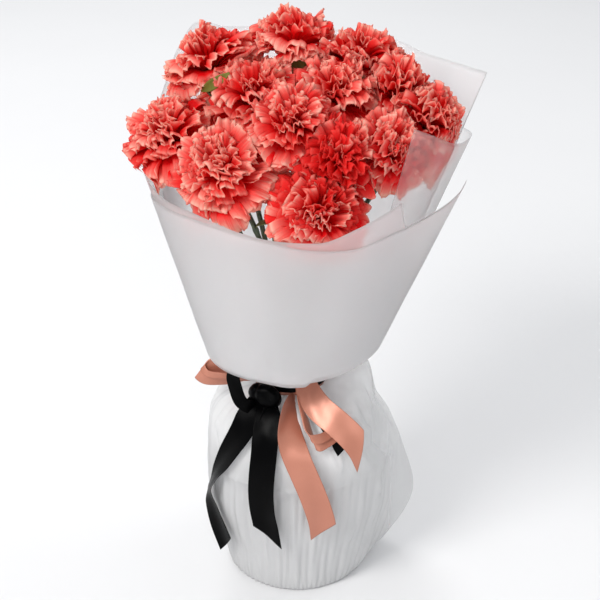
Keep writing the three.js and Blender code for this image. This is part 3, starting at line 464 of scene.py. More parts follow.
class Nodes:
    """A material's nodes, made one call at a time."""

    def __init__(self, name):
        self.material = bpy.data.materials.new(name)
        self.material.use_nodes = True
        self.tree = self.material.node_tree
        self.tree.nodes.clear()
        self.out = self.tree.nodes.new("ShaderNodeOutputMaterial")

    def add(self, kind, values=None, **settings):
        node = self.tree.nodes.new("ShaderNode" + kind)
        for key, value in settings.items():
            setattr(node, key, value)
        for key, value in (values or {}).items():
            self.put(node.inputs[key], value)
        return node

    def put(self, socket, value):
        if isinstance(value, bpy.types.NodeSocket):
            self.tree.links.new(value, socket)
        else:
            socket.default_value = (*value, 1) if socket.type == "RGBA" else value

    def math(self, operation, *values, clamp=False):
        node = self.add("Math", operation=operation, use_clamp=clamp)
        for k, value in enumerate(values):
            self.put(node.inputs[k], value)
        return node.outputs[0]

    def times(self, value, *others):
        for other in others:
            value = self.math("MULTIPLY", value, other)
        return value

    def above(self, value, start, gain):
        """How far a value is above a start, times a gain, from 0 to 1."""
        return self.math("MULTIPLY", self.math("SUBTRACT", value, start), gain, clamp=True)

    def mix(self, factor, a, b):
        node = self.add("Mix", data_type="RGBA")
        for key, value in ((0, factor), (6, a), (7, b)):
            self.put(node.inputs[key], value)
        return node.outputs[2]

    def ramp(self, factor, stops):
        node = self.add("ValToRGB", {"Fac": factor})
        while len(node.color_ramp.elements) < len(stops):
            node.color_ramp.elements.new(0.5)
        for element, (place, colour) in zip(node.color_ramp.elements, stops):
            element.position = place
            element.color = (*colour, 1)
        return node.outputs["Color"]

    def noise(self, vector, scale, detail=3.0, rough=0.55):
        values = {"Vector": vector, "Scale": scale, "Detail": detail, "Roughness": rough}
        return self.add("TexNoise", values).outputs["Fac"]

    def stretched(self, vector, x, y, z):
        return self.add("Mapping", {"Vector": vector, "Scale": (x, y, z)}).outputs["Vector"]

    def vector(self, x, y, z=0.0):
        return self.add("CombineXYZ", {"X": x, "Y": y, "Z": z}).outputs[0]

    def place(self):
        return self.add("TexCoord").outputs["Object"]

    def marks(self):
        """The three values that a mesh keeps at each point: across, along and tone."""
        colour = self.add("Attribute", attribute_name="marks").outputs["Color"]
        return self.add("SeparateColor", {"Color": colour}).outputs[:3]

    def bump(self, height, distance, strength=1.0):
        values = {"Height": height, "Distance": distance, "Strength": strength}
        return self.add("Bump", values).outputs["Normal"]

    def shader(self, kind, values=None):
        return self.add(kind, values).outputs[0]

    def coat(self, colour, roughness, normal, **more):
        """A principled shader. more holds other sockets, with _ for each space in their names."""
        values = {"Base Color": colour, "Roughness": roughness, "Normal": normal}
        values.update({key.replace("_", " "): value for key, value in more.items()})
        return self.shader("BsdfPrincipled", values)

    def shaders(self, factor, a, b):
        return self.add("MixShader", {0: factor, 1: a, 2: b}).outputs[0]

    def done(self, shader):
        self.put(self.out.inputs["Surface"], shader)
        return self.material


def petal_look():
    """Coral petals: red deep inside as painted shade, salmon outside as painted light, veins and a thin dark
    edge.
    """
    n = Nodes("carnation petal")
    across, along, tone = n.marks()
    strand = n.vector(n.times(across, 26.0), n.times(along, 1.6), n.times(tone, 61.0))
    veins = n.noise(strand, 1.0, 4.0)
    mottle = n.noise(n.place(), 90.0, 3.0)
    # along each petal: the deep red towards its base is painted shade, the peach near its end a painted
    # highlight
    depth = n.ramp(along, [
        (0.0, (0.45, 0.30, 0.10)), (0.2, (0.88, 0.003, 0.006)), (0.62, (0.90, 0.005, 0.010)),
        (0.78, (0.93, 0.022, 0.024)), (0.88, (0.98, 0.19, 0.155)), (0.955, (1.0, 0.66, 0.54)),
        (1.0, (0.94, 0.30, 0.23)),
    ])
    # each petal's outer part, which its tone paints more pale, as painted light
    outer = n.above(along, 0.6, 3.0)
    painted_light_paler = n.mix(n.times(tone, 0.75, outer), depth, (1.0, 0.68, 0.55))
    veined = n.mix(n.above(veins, 0.47, 3.6), painted_light_paler, (0.93, 0.045, 0.040))
    mottled = n.mix(n.times(mottle, 0.2, outer), veined, (1.0, 0.50, 0.40))
    # petals of low tone are deep red all over, some at random and some as painted shade near the heart of the
    # bunch
    colour = n.mix(n.above(0.34, tone, 2.6), mottled, (0.90, 0.022, 0.022))
    bumps = n.bump(veins, 0.0006, 0.7)
    front = n.coat(colour, 0.7, bumps, Specular_IOR_Level=0.12)
    return n.done(n.shaders(0.44, front, n.shader("BsdfTranslucent", {"Color": colour, "Normal": bumps})))


def green_look(name, dark, light, scale, thin):
    """Stems and leaves. thin is the share of light that a leaf lets through."""
    n = Nodes(name)
    place = n.place()
    fibres = n.noise(n.stretched(place, 3.0, 3.0, 0.35), scale, 4.0)
    patches = n.noise(place, 60.0, 2.0)
    colour = n.mix(n.math("MULTIPLY", n.math("ADD", fibres, patches), 0.55, clamp=True), dark, light)
    shader = n.coat(colour, 0.55, n.bump(fibres, 0.0003, 0.6))
    return n.done(n.shaders(thin, shader, n.shader("BsdfTranslucent", {"Color": colour})))


def paper_look(name, clear, blur, sharp):
    """Frosted paper: what lies close behind shows through it, partly blurred and partly sharp."""
    n = Nodes(name)
    place = n.place()
    cloud = n.noise(place, 35.0, 5.0, 0.6)
    grain = n.noise(place, 900.0, 2.0)
    colour = n.mix(cloud, (0.93, 0.93, 0.94), (0.97, 0.97, 0.975))
    front = n.coat(colour, 0.5, n.bump(grain, 0.00006, 0.4), Specular_IOR_Level=0.35)
    milky = n.shaders(0.5, front, n.shader("BsdfTranslucent", {"Color": colour}))
    blurred = n.shader("BsdfRefraction", {"Color": (0.99, 0.99, 0.99), "Roughness": blur, "IOR": 1.1})
    seen = n.shaders(sharp, blurred, n.shader("BsdfTransparent"))
    return n.done(n.shaders(clear, milky, seen))


def film_look():
    """Thin white film: milky where it lies flat, white above the rim as painted light on its shaded neck,
    clearer in the loose right fold.
    """
    n = Nodes("white film")
    place = n.place()
    cloud = n.noise(place, 22.0, 4.0)
    wrinkles = n.noise(n.stretched(place, 1.0, 1.0, 0.35), 60.0, 5.0, 0.6)
    right, _, high = n.add("SeparateXYZ", {"Vector": place}).outputs
    # above the rim the film is painted near white, painted light on the neck that the paper shades
    painted_light_above_rim = n.above(high, FILM_LOOK["painted_light_from"], FILM_LOOK["whiter"])
    wall = n.mix(cloud, (0.78, 0.78, 0.785), (0.87, 0.87, 0.875))
    colour = n.mix(painted_light_above_rim, wall, (0.97, 0.97, 0.975))
    front = n.coat(colour, 0.27, n.bump(wrinkles, 0.0012, 0.6))
    milky = n.shaders(0.5, front, n.shader("BsdfTranslucent", {"Color": colour}))
    clear = n.shader("BsdfTransparent", {"Color": (0.97, 0.97, 0.97)})
    right = n.math("ADD", right, n.times(painted_light_above_rim, FILM_LOOK["sooner"]))
    loose = n.above(right, FILM_LOOK["clear_from"], FILM_LOOK["clearer"])
    share = n.math("ADD", n.times(loose, FILM_LOOK["further"]), FILM_LOOK["least"])
    return n.done(n.shaders(share, milky, clear))


def satin_look(name, dark, light, roughness, gloss, metal):
    """Satin: fine threads along the weave, and a soft broad gloss."""
    n = Nodes(name)
    across, along, _ = n.marks()
    threads = n.noise(n.vector(n.times(across, 60.0), n.times(along, 9.0)), 1.0, 2.0)
    cloud = n.noise(n.place(), 45.0, 3.0)
    edge = n.math("GREATER_THAN", n.math("ABSOLUTE", n.math("SUBTRACT", across, 0.5)), 0.475)
    shade = n.times(n.math("ADD", threads, cloud), 0.5)
    colour = n.mix(edge, n.mix(shade, dark, light), dark)
    bumps = n.bump(threads, 0.00012, 0.5)
    return n.done(n.coat(colour, roughness, bumps, Metallic=metal, Anisotropic=0.5, Specular_IOR_Level=gloss))


def plain_look(name, dark, light, roughness, scale, depth):
    n = Nodes(name)
    place = n.place()
    colour = n.mix(n.noise(place, scale, 4.0), dark, light)
    bumps = n.bump(n.noise(place, scale * 9, 3.0), depth, 0.5)
    return n.done(n.coat(colour, roughness, bumps))


def water_look():
    n = Nodes("water")
    bumps = n.bump(n.noise(n.place(), 40.0, 2.0), 0.0002, 0.3)
    return n.done(n.coat((0.93, 0.97, 0.98), 0.03, bumps, Transmission_Weight=1.0, IOR=1.33))


# ---- paper cone

def cone_radius(z):
    return PAPER["bottom_radius"] + PAPER["slope"] * (z - PAPER["bottom_z"])


def cone_centre(z):
    t = (np.asarray(z, float) - PAPER["bottom_z"]) / CONE_LEAN["rise"]
    return xyz(*(lerp(a, b, t) for a, b in zip(CONE_LEAN["bottom"], CONE_LEAN["top"])), z)


def cone_point(degrees, z, layer):
    radius = cone_radius(z) - layer * PAPER["pitch"]
    return cone_centre(z) + radius[..., None] * way(degrees)


def paper_on_cone(name, look):
    layer, bottom, top = PAPER_SHEETS[name]
    v, u = shares(40)[:, None], shares(180)[None]
    low = lerp(bottom[0][0], bottom[-1][0], u)
    high = lerp(top[0][0], top[-1][0], u)
    angle = lerp(low, high, v)
    z = lerp(chain(bottom, low), chain(top, high), v)
    turn = np.radians(angle)
    wave = 0.24 * np.sin(turn * 7 + 2.1 * layer) * v + 0.12 * np.sin(z / 13 + turn * 3)
    sheet_of_paper(name, cone_point(angle, z, layer + wave / PAPER["pitch"]), look)


def sheet_of_paper(name, grid, look):
    piece(name + "_sheet", *thin_solids(grid[None], PAPER["thickness"]), look, "paper", name)


def paper_right_edges(share):
    """The right-hand sheet's bottom and top edge, at shares from its free edge."""
    layer = PAPER_RIGHT["layer"]
    angle, z = np.array(PAPER_RIGHT["cone_top"], float).T
    top = curve([*PAPER_RIGHT["free_top"], *cone_point(angle, z, layer)], share)
    low = lerp(PAPER_RIGHT["from"], PAPER_RIGHT["to"], share)
    return cone_point(low, PAPER_RIGHT["bottom"] + 0 * low, layer), top


def paper_right(look):
    bottom, top = paper_right_edges(shares(90))
    sheet_of_paper("paper_right", lerp(bottom, top, shares(50)[:, None, None]), look)


# ---- blooms

def bloom_frames():
    frames = []
    for x, y, z, radius, spin in BLOOMS:
        middle = np.array([x, y, z], float)
        axis = unit(middle - BLOOM_FOCUS)
        side = unit(np.cross([0, 1, 0], axis))
        frames.append({"middle": middle, "radius": radius, "spin": math.radians(spin), "axis": axis,
                       "side": side, "other": np.cross(axis, side)})
    return frames


def borders_of(bloom, blooms):
    """The planes between a bloom and what it presses on: a normal that points out, a place, and 1 where
    petals may mingle across it."""
    borders = []
    for other in blooms:
        between = other["middle"] - bloom["middle"]
        distance = np.linalg.norm(between)
        if other is bloom or distance > bloom["radius"] + other["radius"] + PRESS["near"]:
            continue
        share = (distance**2 + bloom["radius"] ** 2 - other["radius"] ** 2) / (2 * distance)
        normal = between / distance
        borders.append((normal, normal @ bloom["middle"] + share, 1))
    # the right-hand sheet leans in against the blooms next to it
    if bloom["middle"][0] >= PAPER_RIGHT["leans_from"] and bloom["middle"][1] <= 0:
        for share in (0.1, 0.3, 0.5, 0.7):
            bottom, top = paper_right_edges(np.array([share - 0.1, share + 0.1]))
            normal = unit(np.cross(top[0] - bottom[0], top[1] - top[0]))
            if normal @ top[0] < normal @ bloom["middle"]:
                normal = -normal
            borders.append((normal, normal @ top[0] - 1.0, 0))
    return borders


def held_below(value, limit):
    soft = PRESS["softening"]
    over = value - (limit - soft)
    return np.where(over <= 0, value, limit - soft * np.exp(-np.maximum(over, 0) / soft))


def bent_inside(points, borders, mingle):
    held = points.copy()
    half = PETALS["thickness"] / 2
    for _ in range(PRESS["turns"]):
        for normal, place, soft in borders:
            value = held @ normal
            held += (held_below(value, place - half + soft * mingle) - value)[..., None] * normal
    centre = cone_centre(held[..., 2])
    out = held - centre
    length = np.linalg.norm(out, axis=-1)
    # behind, the paper holds them up to the back sheet's own top edge
    degrees = np.degrees(np.arctan2(out[..., 0], -out[..., 1])) % 360
    back_top = chain(PAPER_SHEETS["paper_back"][2], degrees) + CONE_ROOM["back_clear"]
    behind = smooth(out[..., 1] / np.maximum(length, 1e-6), 0.0, 0.2)
    left = smooth(-out[..., 0] / np.maximum(length, 1e-6), 0.4, 0.8)
    freed = 0 * length
    for share, above, freeing in ((1, "free_above", "freeing"), (left, "left_above", "left_freeing")):
        over = held[..., 2] - lerp(CONE_ROOM[above], back_top, behind)
        freed = np.maximum(freed, CONE_ROOM[freeing] * share * np.maximum(0, over))
    room = cone_radius(held[..., 2]) - CONE_ROOM["layer"] * PAPER["pitch"] - PRESS["gap"] + freed
    return centre + out * (held_below(length, room - half) / np.maximum(length, 1e-6))[..., None]


def petal_table(bloom, number):
    """One row of values for each petal of a bloom: those that spiral round it, then its hanging guards."""
    share = shares(PETALS["count"])
    angle = bloom["spin"] + GOLDEN * np.arange(PETALS["count"])
    rows = {name: chain(course, share) for name, course in PETAL_COURSES.items()}
    # the outermost petals' pale share makes their outer parts lighter, as painted light
    rows.update(share=share, angle=angle, pale=0.35 * (share < 0.3))
    rows["reach"] *= bloom["radius"]
    rows["tip"] += LIFTED.get(number, 0) * (share < 0.25)
    ways = np.cos(angle)[:, None] * bloom["side"] + np.sin(angle)[:, None] * bloom["other"]
    points = np.degrees(np.arctan2(ways[:, 0], -ways[:, 1]))
    for direction, spread, change in UNEVEN.get(number, []):
        rows["reach"] *= 1 + change * bell(off_by(points, direction), spread)
    for direction, spread, drop in LOWERED.get(number, []):
        rows["tip"] -= drop * bell(off_by(points, direction), spread) * smooth(share, 0.2, 0.55)
    for direction, reach, tip, width in GUARDS.get(number, []):
        out = way(direction)
        guard = {"share": 0, "angle": math.atan2(out @ bloom["other"], out @ bloom["side"]), "reach": reach,
                 "tip": tip, "width": width, **GUARD_COURSE}
        rows = {name: np.append(row, guard[name]) for name, row in rows.items()}
    return {name: row[:, None, None] for name, row in rows.items()}


def bowed(t, start, bend, end):
    """A curve from start to end by way of a bend, and its slope."""
    return ((1 - t) ** 2 * start + 2 * t * (1 - t) * bend + t**2 * end,
            2 * ((1 - t) * (bend - start) + t * (end - bend)))


def petal_grids(bloom, number):
    """The petals of one bloom in its own frame, and the marks on them: across, along and tone."""
    petal = petal_table(bloom, number)
    v = np.array(PETAL_ROWS)[:, None]
    u = np.linspace(-1, 1, PETALS["columns"])
    i = np.arange(len(petal["share"]))

    def chance(k, low, high):
        return lerp(low, high, draw(number * 997 + 31 * i + 7 * k)[:, None, None])

    def phase(k):
        return chance(k, 0, 6.3)

    angle = petal["angle"] + chance(1, -0.45, 0.45)
    reach = petal["reach"] * chance(2, 0.87, 1.13)
    tip = petal["tip"] + chance(3, -6, 6)
    width = petal["width"] * chance(4, 0.78, 1.28)
    cell = np.arange(PETALS["columns"])
    teeth = 0.5 * (cell % 3 == 1) + draw(number * 613 + 53 * i[:, None] + 3 * cell)
    teeth = teeth[:, None] * TOOTH * smooth(v, 0.9, 1)
    notch = 0.05 * np.sin(3.1 * u + phase(5)) + 0.035 * np.sin(7.3 * u + phase(6))
    length = v - v**3 * (PETAL_SHAPE["round"] * u**2 + PETAL_SHAPE["square"] * u**6 + notch) - teeth
    # along the petal: up out of the calyx, then out
    foot = 1 - RECEPTACLE
    bend = foot + petal["bow_up"] * (tip - foot)
    bend = np.where(petal["share"] < 0.25, np.maximum(bend, PETAL_SHAPE["lowest_bend"]), bend)
    r, dr = bowed(length, 0, reach * petal["bow_out"], reach)
    z, dz = bowed(length, foot, bend, tip)
    steep = np.sqrt(dr**2 + dz**2) + 1e-6
    # ruffles, which push it up and down and a little aside, and a cupped, curled and twisted end
    waves = math.pi * petal["waves"] * chance(7, 0.75, 1.25)
    ruffle = 0.75 * np.sin(waves * (u + u**2 * chance(8, -0.125, 0.125)) + phase(9) + 1.1 * v) \
        + 0.42 * np.sin(2.3 * waves * u + phase(10) - 2.0 * v) \
        + 0.2 * np.sin(5.1 * waves * u + phase(11)) * v**2
    push = petal["depth"] * chance(13, 0.75, 1.25) * ruffle * v**1.3 \
        - chance(12, -3.0, 5.0) * np.clip((v - 0.6) / 0.4, 0, 1) ** 2 \
        - width * PETAL_SHAPE["cup"] * u**2 * v * (1 - petal["share"]) \
        + chance(15, -0.35, 0.35) * width * u * v
    r = r + PETAL_SHAPE["start"] - push * dz / steep
    aside = u * width * (0.1 + 0.9 * np.sin(0.5 * math.pi * np.minimum(v / 0.85, 1)) ** 1.2) \
        + PETAL_SHAPE["crinkle"] * np.cos(2.3 * waves * u + phase(10)) * v**2
    c, s = np.cos(angle), np.sin(angle)
    grid = xyz(r * c - aside * s, r * s + aside * c, z + push * dr / steep)
    return grid, xyz((u + 1) / 2, v, np.clip(chance(14, 0.05, 0.75) + petal["pale"], 0, 1))


def shaded_redder_near(points, tone):
    """Petals in the heart of the bunch are painted a deeper red, as painted shade."""
    far = np.linalg.norm(points.mean((1, 2)) - SHADED_HEART["place"], axis=1)
    return np.clip(tone - SHADED_HEART["share"] * bell(far, SHADED_HEART["reach"]), 0, 1)


def bloom_piece(index, bloom, blooms, look):
    grid, marks = petal_grids(bloom, index + 1)
    frame_of = np.stack([bloom["side"], bloom["other"], bloom["axis"]])
    mingle = lerp(*PRESS["mingle"], draw(71 * index + 5 * np.arange(len(grid))))[:, None, None]
    placed = bent_inside(bloom["middle"] + grid @ frame_of, borders_of(bloom, blooms), mingle)
    points, faces = thin_solids(placed, PETALS["thickness"])
    marks[..., 2] = shaded_redder_near(placed, marks[:, 0, 0, 2])[:, None, None]
    both = np.concatenate([marks.reshape(len(marks), -1, 3)] * 2, axis=1).reshape(-1, 3)
    piece(f"carnation_{index + 1:02d}", points, faces, look, "petal", f"bloom_{index + 1:02d}", both)


# ---- stems and leaves

def neck_slots(blooms):
    scale = STEM["bundle"] / BLOOM_CIRCLE["radius"]
    slots = [np.array([b["middle"][0], b["middle"][1] - BLOOM_CIRCLE["y"]]) * scale for b in blooms]
    for _ in range(400):
        for a in slots:
            for b in slots:
                apart = a - b
                distance = math.hypot(*apart)
                if a is b or distance >= STEM["spacing"]:
                    continue
                apart *= (STEM["spacing"] - distance) / 2 / distance
                a += apart
                b -= apart
        for slot in slots:
            slot *= min(1, STEM["bundle"] / max(math.hypot(*slot), 1e-9))
    return slots


def bezier(p, t):
    t = np.atleast_1d(t)[:, None]
    return (1 - t) ** 3 * p[0] + 3 * t * (1 - t) ** 2 * p[1] + 3 * t * t * (1 - t) * p[2] + t**3 * p[3]


def leaf_solid(control, place, points, length, seed):
    root = bezier(control, place)[0]
    up = unit(bezier(control, place + 0.01)[0] - root)
    level = way(points)
    out = unit(level - up * (up @ level))
    across = unit(np.cross(up, out))
    t = shares(26)
    far, high, wide = (chain(list(zip(shares(4), course)), t) for course in np.array(LEAF_ROWS).T)
    middle = root + length * (LEAF["reach"] * far[:, None] * out + LEAF["rise"] * high[:, None] * up)
    side = np.linspace(-1, 1, 7)
    twist = 0.9 * np.sin(2.4 * t + seed) * t
    grid = middle[:, None] + (side * wide[:, None] * LEAF["width"] / 2)[..., None] * across
    lift = twist[:, None] * side - LEAF["fold"] * (1 - np.abs(side))
    return (*thin_solids((grid + lift[..., None] * up)[None], LEAF["thickness"]), None)


def stem_piece(index, bloom, slot, looks):
    foot = np.array([*(slot * STEM["spread"]), STEM["foot"]])
    neck = NECK + np.array([*slot, 0])
    end = bloom["middle"] - bloom["axis"] * (RECEPTACLE + CALYX_LENGTH)
    bend = STEM["bend"] * np.linalg.norm(end - neck)
    control = [neck, neck + unit(neck - foot) * bend, end - bloom["axis"] * bend, end]
    centres = np.concatenate([lerp(foot, neck, shares(20)[:-1, None]), bezier(control, shares(60))])
    far = np.concatenate([[0], np.cumsum(np.linalg.norm(np.diff(centres, axis=0), axis=1))])
    along = (far + JOINT["shift"] * index) % JOINT["apart"] - JOINT["apart"] / 2
    radii = STEM["radius"] * (1 - 0.04 * np.sin(far / 31)) + JOINT["out"] * bell(along, JOINT["length"])
    node = f"stem_{index + 1:02d}"
    piece(f"stalk_{index + 1:02d}", *join([tube(centres, radii, 14)]), looks["stem"], "stem", node)
    # the calyx: a fluted cup with five lobes, its bracts, and the leaves and sepals near it
    height = np.linspace(-1.0, CALYX_LENGTH - 0.6, 30)[:, None]
    flutes = 1 + 0.035 * np.cos(5 * circle(30)) * smooth(height, 2, 20)
    parts = [tube(end + height * bloom["axis"], chain(CALYX_OUTLINE, height) * flutes, 30)]
    parts += [leaf_solid(control, *leaf, index) for stem, *leaf in LEAVES if stem == index + 1]
    parts += [sepal(path, side, width) for number, *path, side, width in SEPALS if number == index + 1]
    scale = BRACT_SCALE.get(index + 1, 1)
    parts += [bract(end, bloom, bloom["spin"] + k * math.pi / 2, scale) for k in range(4)]
    piece(f"calyx_{index + 1:02d}", *join(parts), looks["leaf"], "stem", node)


def bract(end, bloom, turn, scale):
    """A small scale that clasps the calyx's foot. A large one also leans away from the calyx."""
    out = bloom["side"] * math.cos(turn) + bloom["other"] * math.sin(turn)
    t = shares(10)[:, None, None]
    side = np.linspace(-1, 1, 7)[:, None]
    wide = 3.4 * scale * np.sqrt(np.maximum(1 - t**1.6, 0.015))
    rise = lerp(-1.5, 9.5 * scale, t)
    clear = chain(BRACT_CLEAR, rise) + 5 * (scale - 1) * t**2 - 0.9 * scale * side**2
    grid = end + rise * bloom["axis"] + clear * out + side * wide * np.cross(bloom["axis"], out)
    return (*thin_solids(grid[None], LEAF["thickness"]), None)


def sepal(path, side, width):
    """A pointed sepal, slightly cupped, along a curve through three places."""
    t = shares(24)
    across = np.linspace(-1, 1, 9)[:, None]
    middle = curve(path, t)
    along = unit(np.gradient(middle, axis=0))
    side = unit(np.array(side) - (along @ np.array(side))[:, None] * along)
    half = (width / 2 * np.sin(math.pi * np.clip(t, 0.03, 0.97)) ** 0.7)[:, None, None]
    cup = 0.22 * across**2 * half * np.cross(along, side)[:, None]
    grid = middle[:, None] + half * across * side[:, None] + cup
    return (*thin_solids(grid[None], LEAF["thickness"]), None)


# ---- vase, film, tie

def vase_piece(look):
    """The vase, turned round the Z axis from a closed outline of radii and heights."""
    outer, inner = VASE["radius"], VASE["radius"] - VASE["wall"]
    low, top = VASE["bottom"], VASE["top"]
    edge = VASE["wall"] / 2
    turn = np.linspace(0, math.pi, 9)
    rim = [(outer - edge + edge * math.cos(a), top - edge + edge * math.sin(a)) for a in turn]
    outline = [(0.01, low), (outer - 4, low), (outer - 1, low + 1), (outer, low + 4)]
    outline += rim + [(inner, low + VASE["floor"] + 3), (inner - 3, low + VASE["floor"]),
                      (0.01, low + VASE["floor"])]
    radius, height = np.array(outline, float).T[..., None]
    angle = circle(VASE["sides"])
    rings = xyz(radius * np.cos(angle), radius * np.sin(angle), height)
    index = np.arange(len(outline) * VASE["sides"]).reshape(-1, VASE["sides"])
    after = np.roll(index, -1, axis=1)
    quads = np.stack([index, after, np.roll(after, -1, axis=0), np.roll(index, -1, axis=0)], -1)
    piece("vase_body", rings.reshape(-1, 3), quads.reshape(-1, 4), look, "vase", "vase")


def film_waves(which, angle, z):
    return sum(depth * np.cos(number * angle + sway * np.sin(often * angle + start) + z / rise)
               for depth, number, sway, often, start, rise in FILM_WAVES[which])


def film_grid():
    z = np.concatenate(FILM_HEIGHTS)[:, None]
    angle = circle(FILM["around"])[None] - math.pi
    s, c, degrees = np.sin(angle), np.cos(angle), np.degrees(angle)
    neck_z = FILM_ROWS[-1, 0]
    front, right, back, left, pleat, flare = (
        chain(FILM_ROWS[:, [0, k]], np.minimum(z, neck_z)) for k in range(1, 7))
    radius = np.where(c > 0, front, back) * c**2 + np.where(s > 0, right, left) * s**2
    gathers = film_waves("neck", angle, z) + film_waves("fine", angle, z) * between(z, *FILM_BANDS["fine"])
    radius += pleat * gathers * (1 + 0.25 * np.sin(3 * angle + z / 25))
    radius += FLARE["reach"] * flare * bell(degrees - FLARE["angle"], FLARE["width"])
    radius += film_creases(degrees, z)
    # upright pleats on the wall, a gathered hem, and the vase's rim pressing from inside
    radius += film_waves("wall", angle, z) * between(z, *FILM_BANDS["wall"])
    radius += film_waves("hem", angle, z) * bell(z - HEM["z"], HEM["height"]) * (z > HEM["above"])
    pressed = np.exp(-(((degrees - RIM["angle"]) / RIM["width"]) ** 4))
    radius += pressed * (RIM["out"] * np.exp(-np.abs(z - VASE["top"]) / RIM["sharp"])
                         - RIM["dent"] * bell(z - RIM["dent_z"], RIM["dent_height"]))
    loose = bell(degrees - SHOULDER["angle"], SHOULDER["width"]) * bell(z - SHOULDER["z"], SHOULDER["height"])
    radius += SHOULDER["out"] * loose
    grid = xyz(NECK[0] * smooth(z, *FILM_SHIFT) + radius * s, -radius * c, z + SHOULDER["rise"] * loose)
    # above the tie the film opens again, inside the paper
    above = z[:, 0] > neck_z
    share = chain([(neck_z, 0.0), *FILM_TOP], z[above])
    seat = cone_radius(z[above]) - FILM["top_layer"] * PAPER["pitch"]
    wide = lerp(FILM["neck_radius"], seat, share) + (1 - share) * (radius[above] - FILM["neck_radius"])
    centre = lerp(NECK[:2], cone_centre(z[above, 0])[:, :2], share)
    grid[above] = xyz(centre[:, :1] + wide * s, centre[:, 1:] - wide * c, z[above])
    return grid


def film_creases(degrees, z):
    """Sharp creases where the film is drawn together, and a few on its wall."""
    small = SMALL_CREASES
    creases = [(np.array(start, float), np.array(end, float), depth) for start, end, depth in CREASES]
    for k in range(small["count"]):
        chance = draw(11 * k + np.arange(7))
        on_wall = k % 4 == 0
        height = lerp(*small["wall_z"], chance[2]) if on_wall else lerp(*small["neck_z"], chance[1])
        start = np.array([-180 + 360 * chance[0], height])
        lean = np.array([small["lean"] * (chance[3] - 0.5), lerp(*small["height"], chance[4])])
        sign = 1 if chance[6] > 1 - small["outward"] else -1
        end = start + lean * (-1 if on_wall else 1)
        creases.append((start, end, lerp(*small["depth"], chance[5]) * sign))
    total = 0 * (degrees + z)
    for start, end, depth in creases:
        x, y = off_by(degrees, start[0]) * small["mm_per_degree"], z - start[1]
        dx, dy = (end - start) * np.array([small["mm_per_degree"], 1])
        share = np.clip((x * dx + y * dy) / (dx**2 + dy**2), 0, 1)
        far = np.hypot(x - share * dx, y - share * dy)
        total += depth * np.exp(-far / small["sharp"]) * np.sin(math.pi * np.clip(share, 0.04, 0.96))
    return total * between(z, *FILM_BANDS["creases"])


def film_piece(look):
    grid = film_grid()
    points, faces = thin_solids(grid[None], FILM["thickness"], closed=True)
    rings, around = grid.shape[:2]
    # a flat round bottom closes the film under the vase; its lower side is the outer one
    outer = np.arange(around)
    after = np.roll(outer, -1)
    inner = outer + rings * around
    faces = faces[~np.all(np.isin(faces, np.concatenate([outer, inner])), axis=1)]
    caps = [xyz(inner, after + rings * around, len(points)), xyz(after, outer, len(points) + 1)]
    middle = [[0, 0, FILM["bottom"] + side * FILM["thickness"] / 2] for side in (1, -1)]
    points = np.concatenate([points, middle])
    piece("film_skin", points, [faces, np.concatenate(caps)], look, "film", "film_wrap")


def twine_piece(look):
    turns = TIE["turns"]
    a = np.linspace(0, 2 * math.pi * turns, 90 * turns)
    centres = xyz(NECK[0] + TIE["radius"] * np.cos(a), NECK[1] + TIE["radius"] * np.sin(a),
                  TIE["bottom"] + TIE["pitch"] * a / (2 * math.pi))
    radii = TIE["cord"] * (1 + 0.13 * np.cos(2 * circle(12) - 14 * a[:, None]))
    cord = tube(centres, radii, 12, start=(0, 0, 1))
    piece("twine_turns", *join([cord]), look, "twine", "stem_tie")


# ---- ribbons

def ribbon_mesh(name, colour, look, grid, marks, thickness, closed=False):
    solid, faces = thin_solids(grid[None], thickness, closed)
    marks = np.concatenate([marks.reshape(-1, 3)] * 2)
    return piece(name, solid, faces, look, "ribbon_" + colour, colour + "_ribbon", marks)


def ribbon_piece(name, looks):
    colour, rows, widths, slant, held = RIBBONS[name]
    rows = np.array(rows, float)
    places, sides = rows[:, :3], unit(rows[:, 3:])
    t = shares(RIBBON["steps"])
    u = np.linspace(-1, 1, RIBBON["columns"])
    length = np.linalg.norm(np.diff(curve(places, t), axis=0), axis=1).sum()
    # the cut end slants: one edge of the ribbon stops short of the other
    cut = 1 - abs(slant) / length * (1 - np.sign(slant) * u) / 2
    share = t[:, None] * cut
    centre, side = (curve(rows, share.ravel()).reshape(*share.shape, 3) for rows in (places, sides))
    side = unit(side)
    stops = [(0, widths[0]), (KEPT_SIZE["wide_from"], widths[1]), (KEPT_SIZE["end_from"], widths[1]),
             (1, widths[2])]
    width = np.interp(share, *zip(*stops))
    # where the ribbon shows narrower than it is when flat, the rest of it is folded back behind
    layers = (u + 1) / 2 * RIBBON["flat_width"] / width
    folded = np.abs((layers + 1) % 2 - 1) * 2 - 1
    back = -RIBBON["fold_pitch"] * (smooth(layers % 1, 0.0, 1.0) + np.floor(layers)) * (layers > 1)
    bow = RIBBON["bow"] * (1 - u**2) + RIBBON["sway"] * np.sin(9 * share + 3 * u)
    lift = back + bow * smooth(share, 0.06, 0.25)
    normal = unit(np.cross(side, np.gradient(centre, axis=0)))
    grid = centre + (folded * width / 2)[..., None] * side + lift[..., None] * normal
    marks = xyz((u + 1) / 2, share * length / RIBBON["flat_width"], 0.0)
    made = ribbon_mesh(name, colour, looks[colour], grid, marks, RIBBON["thickness"])


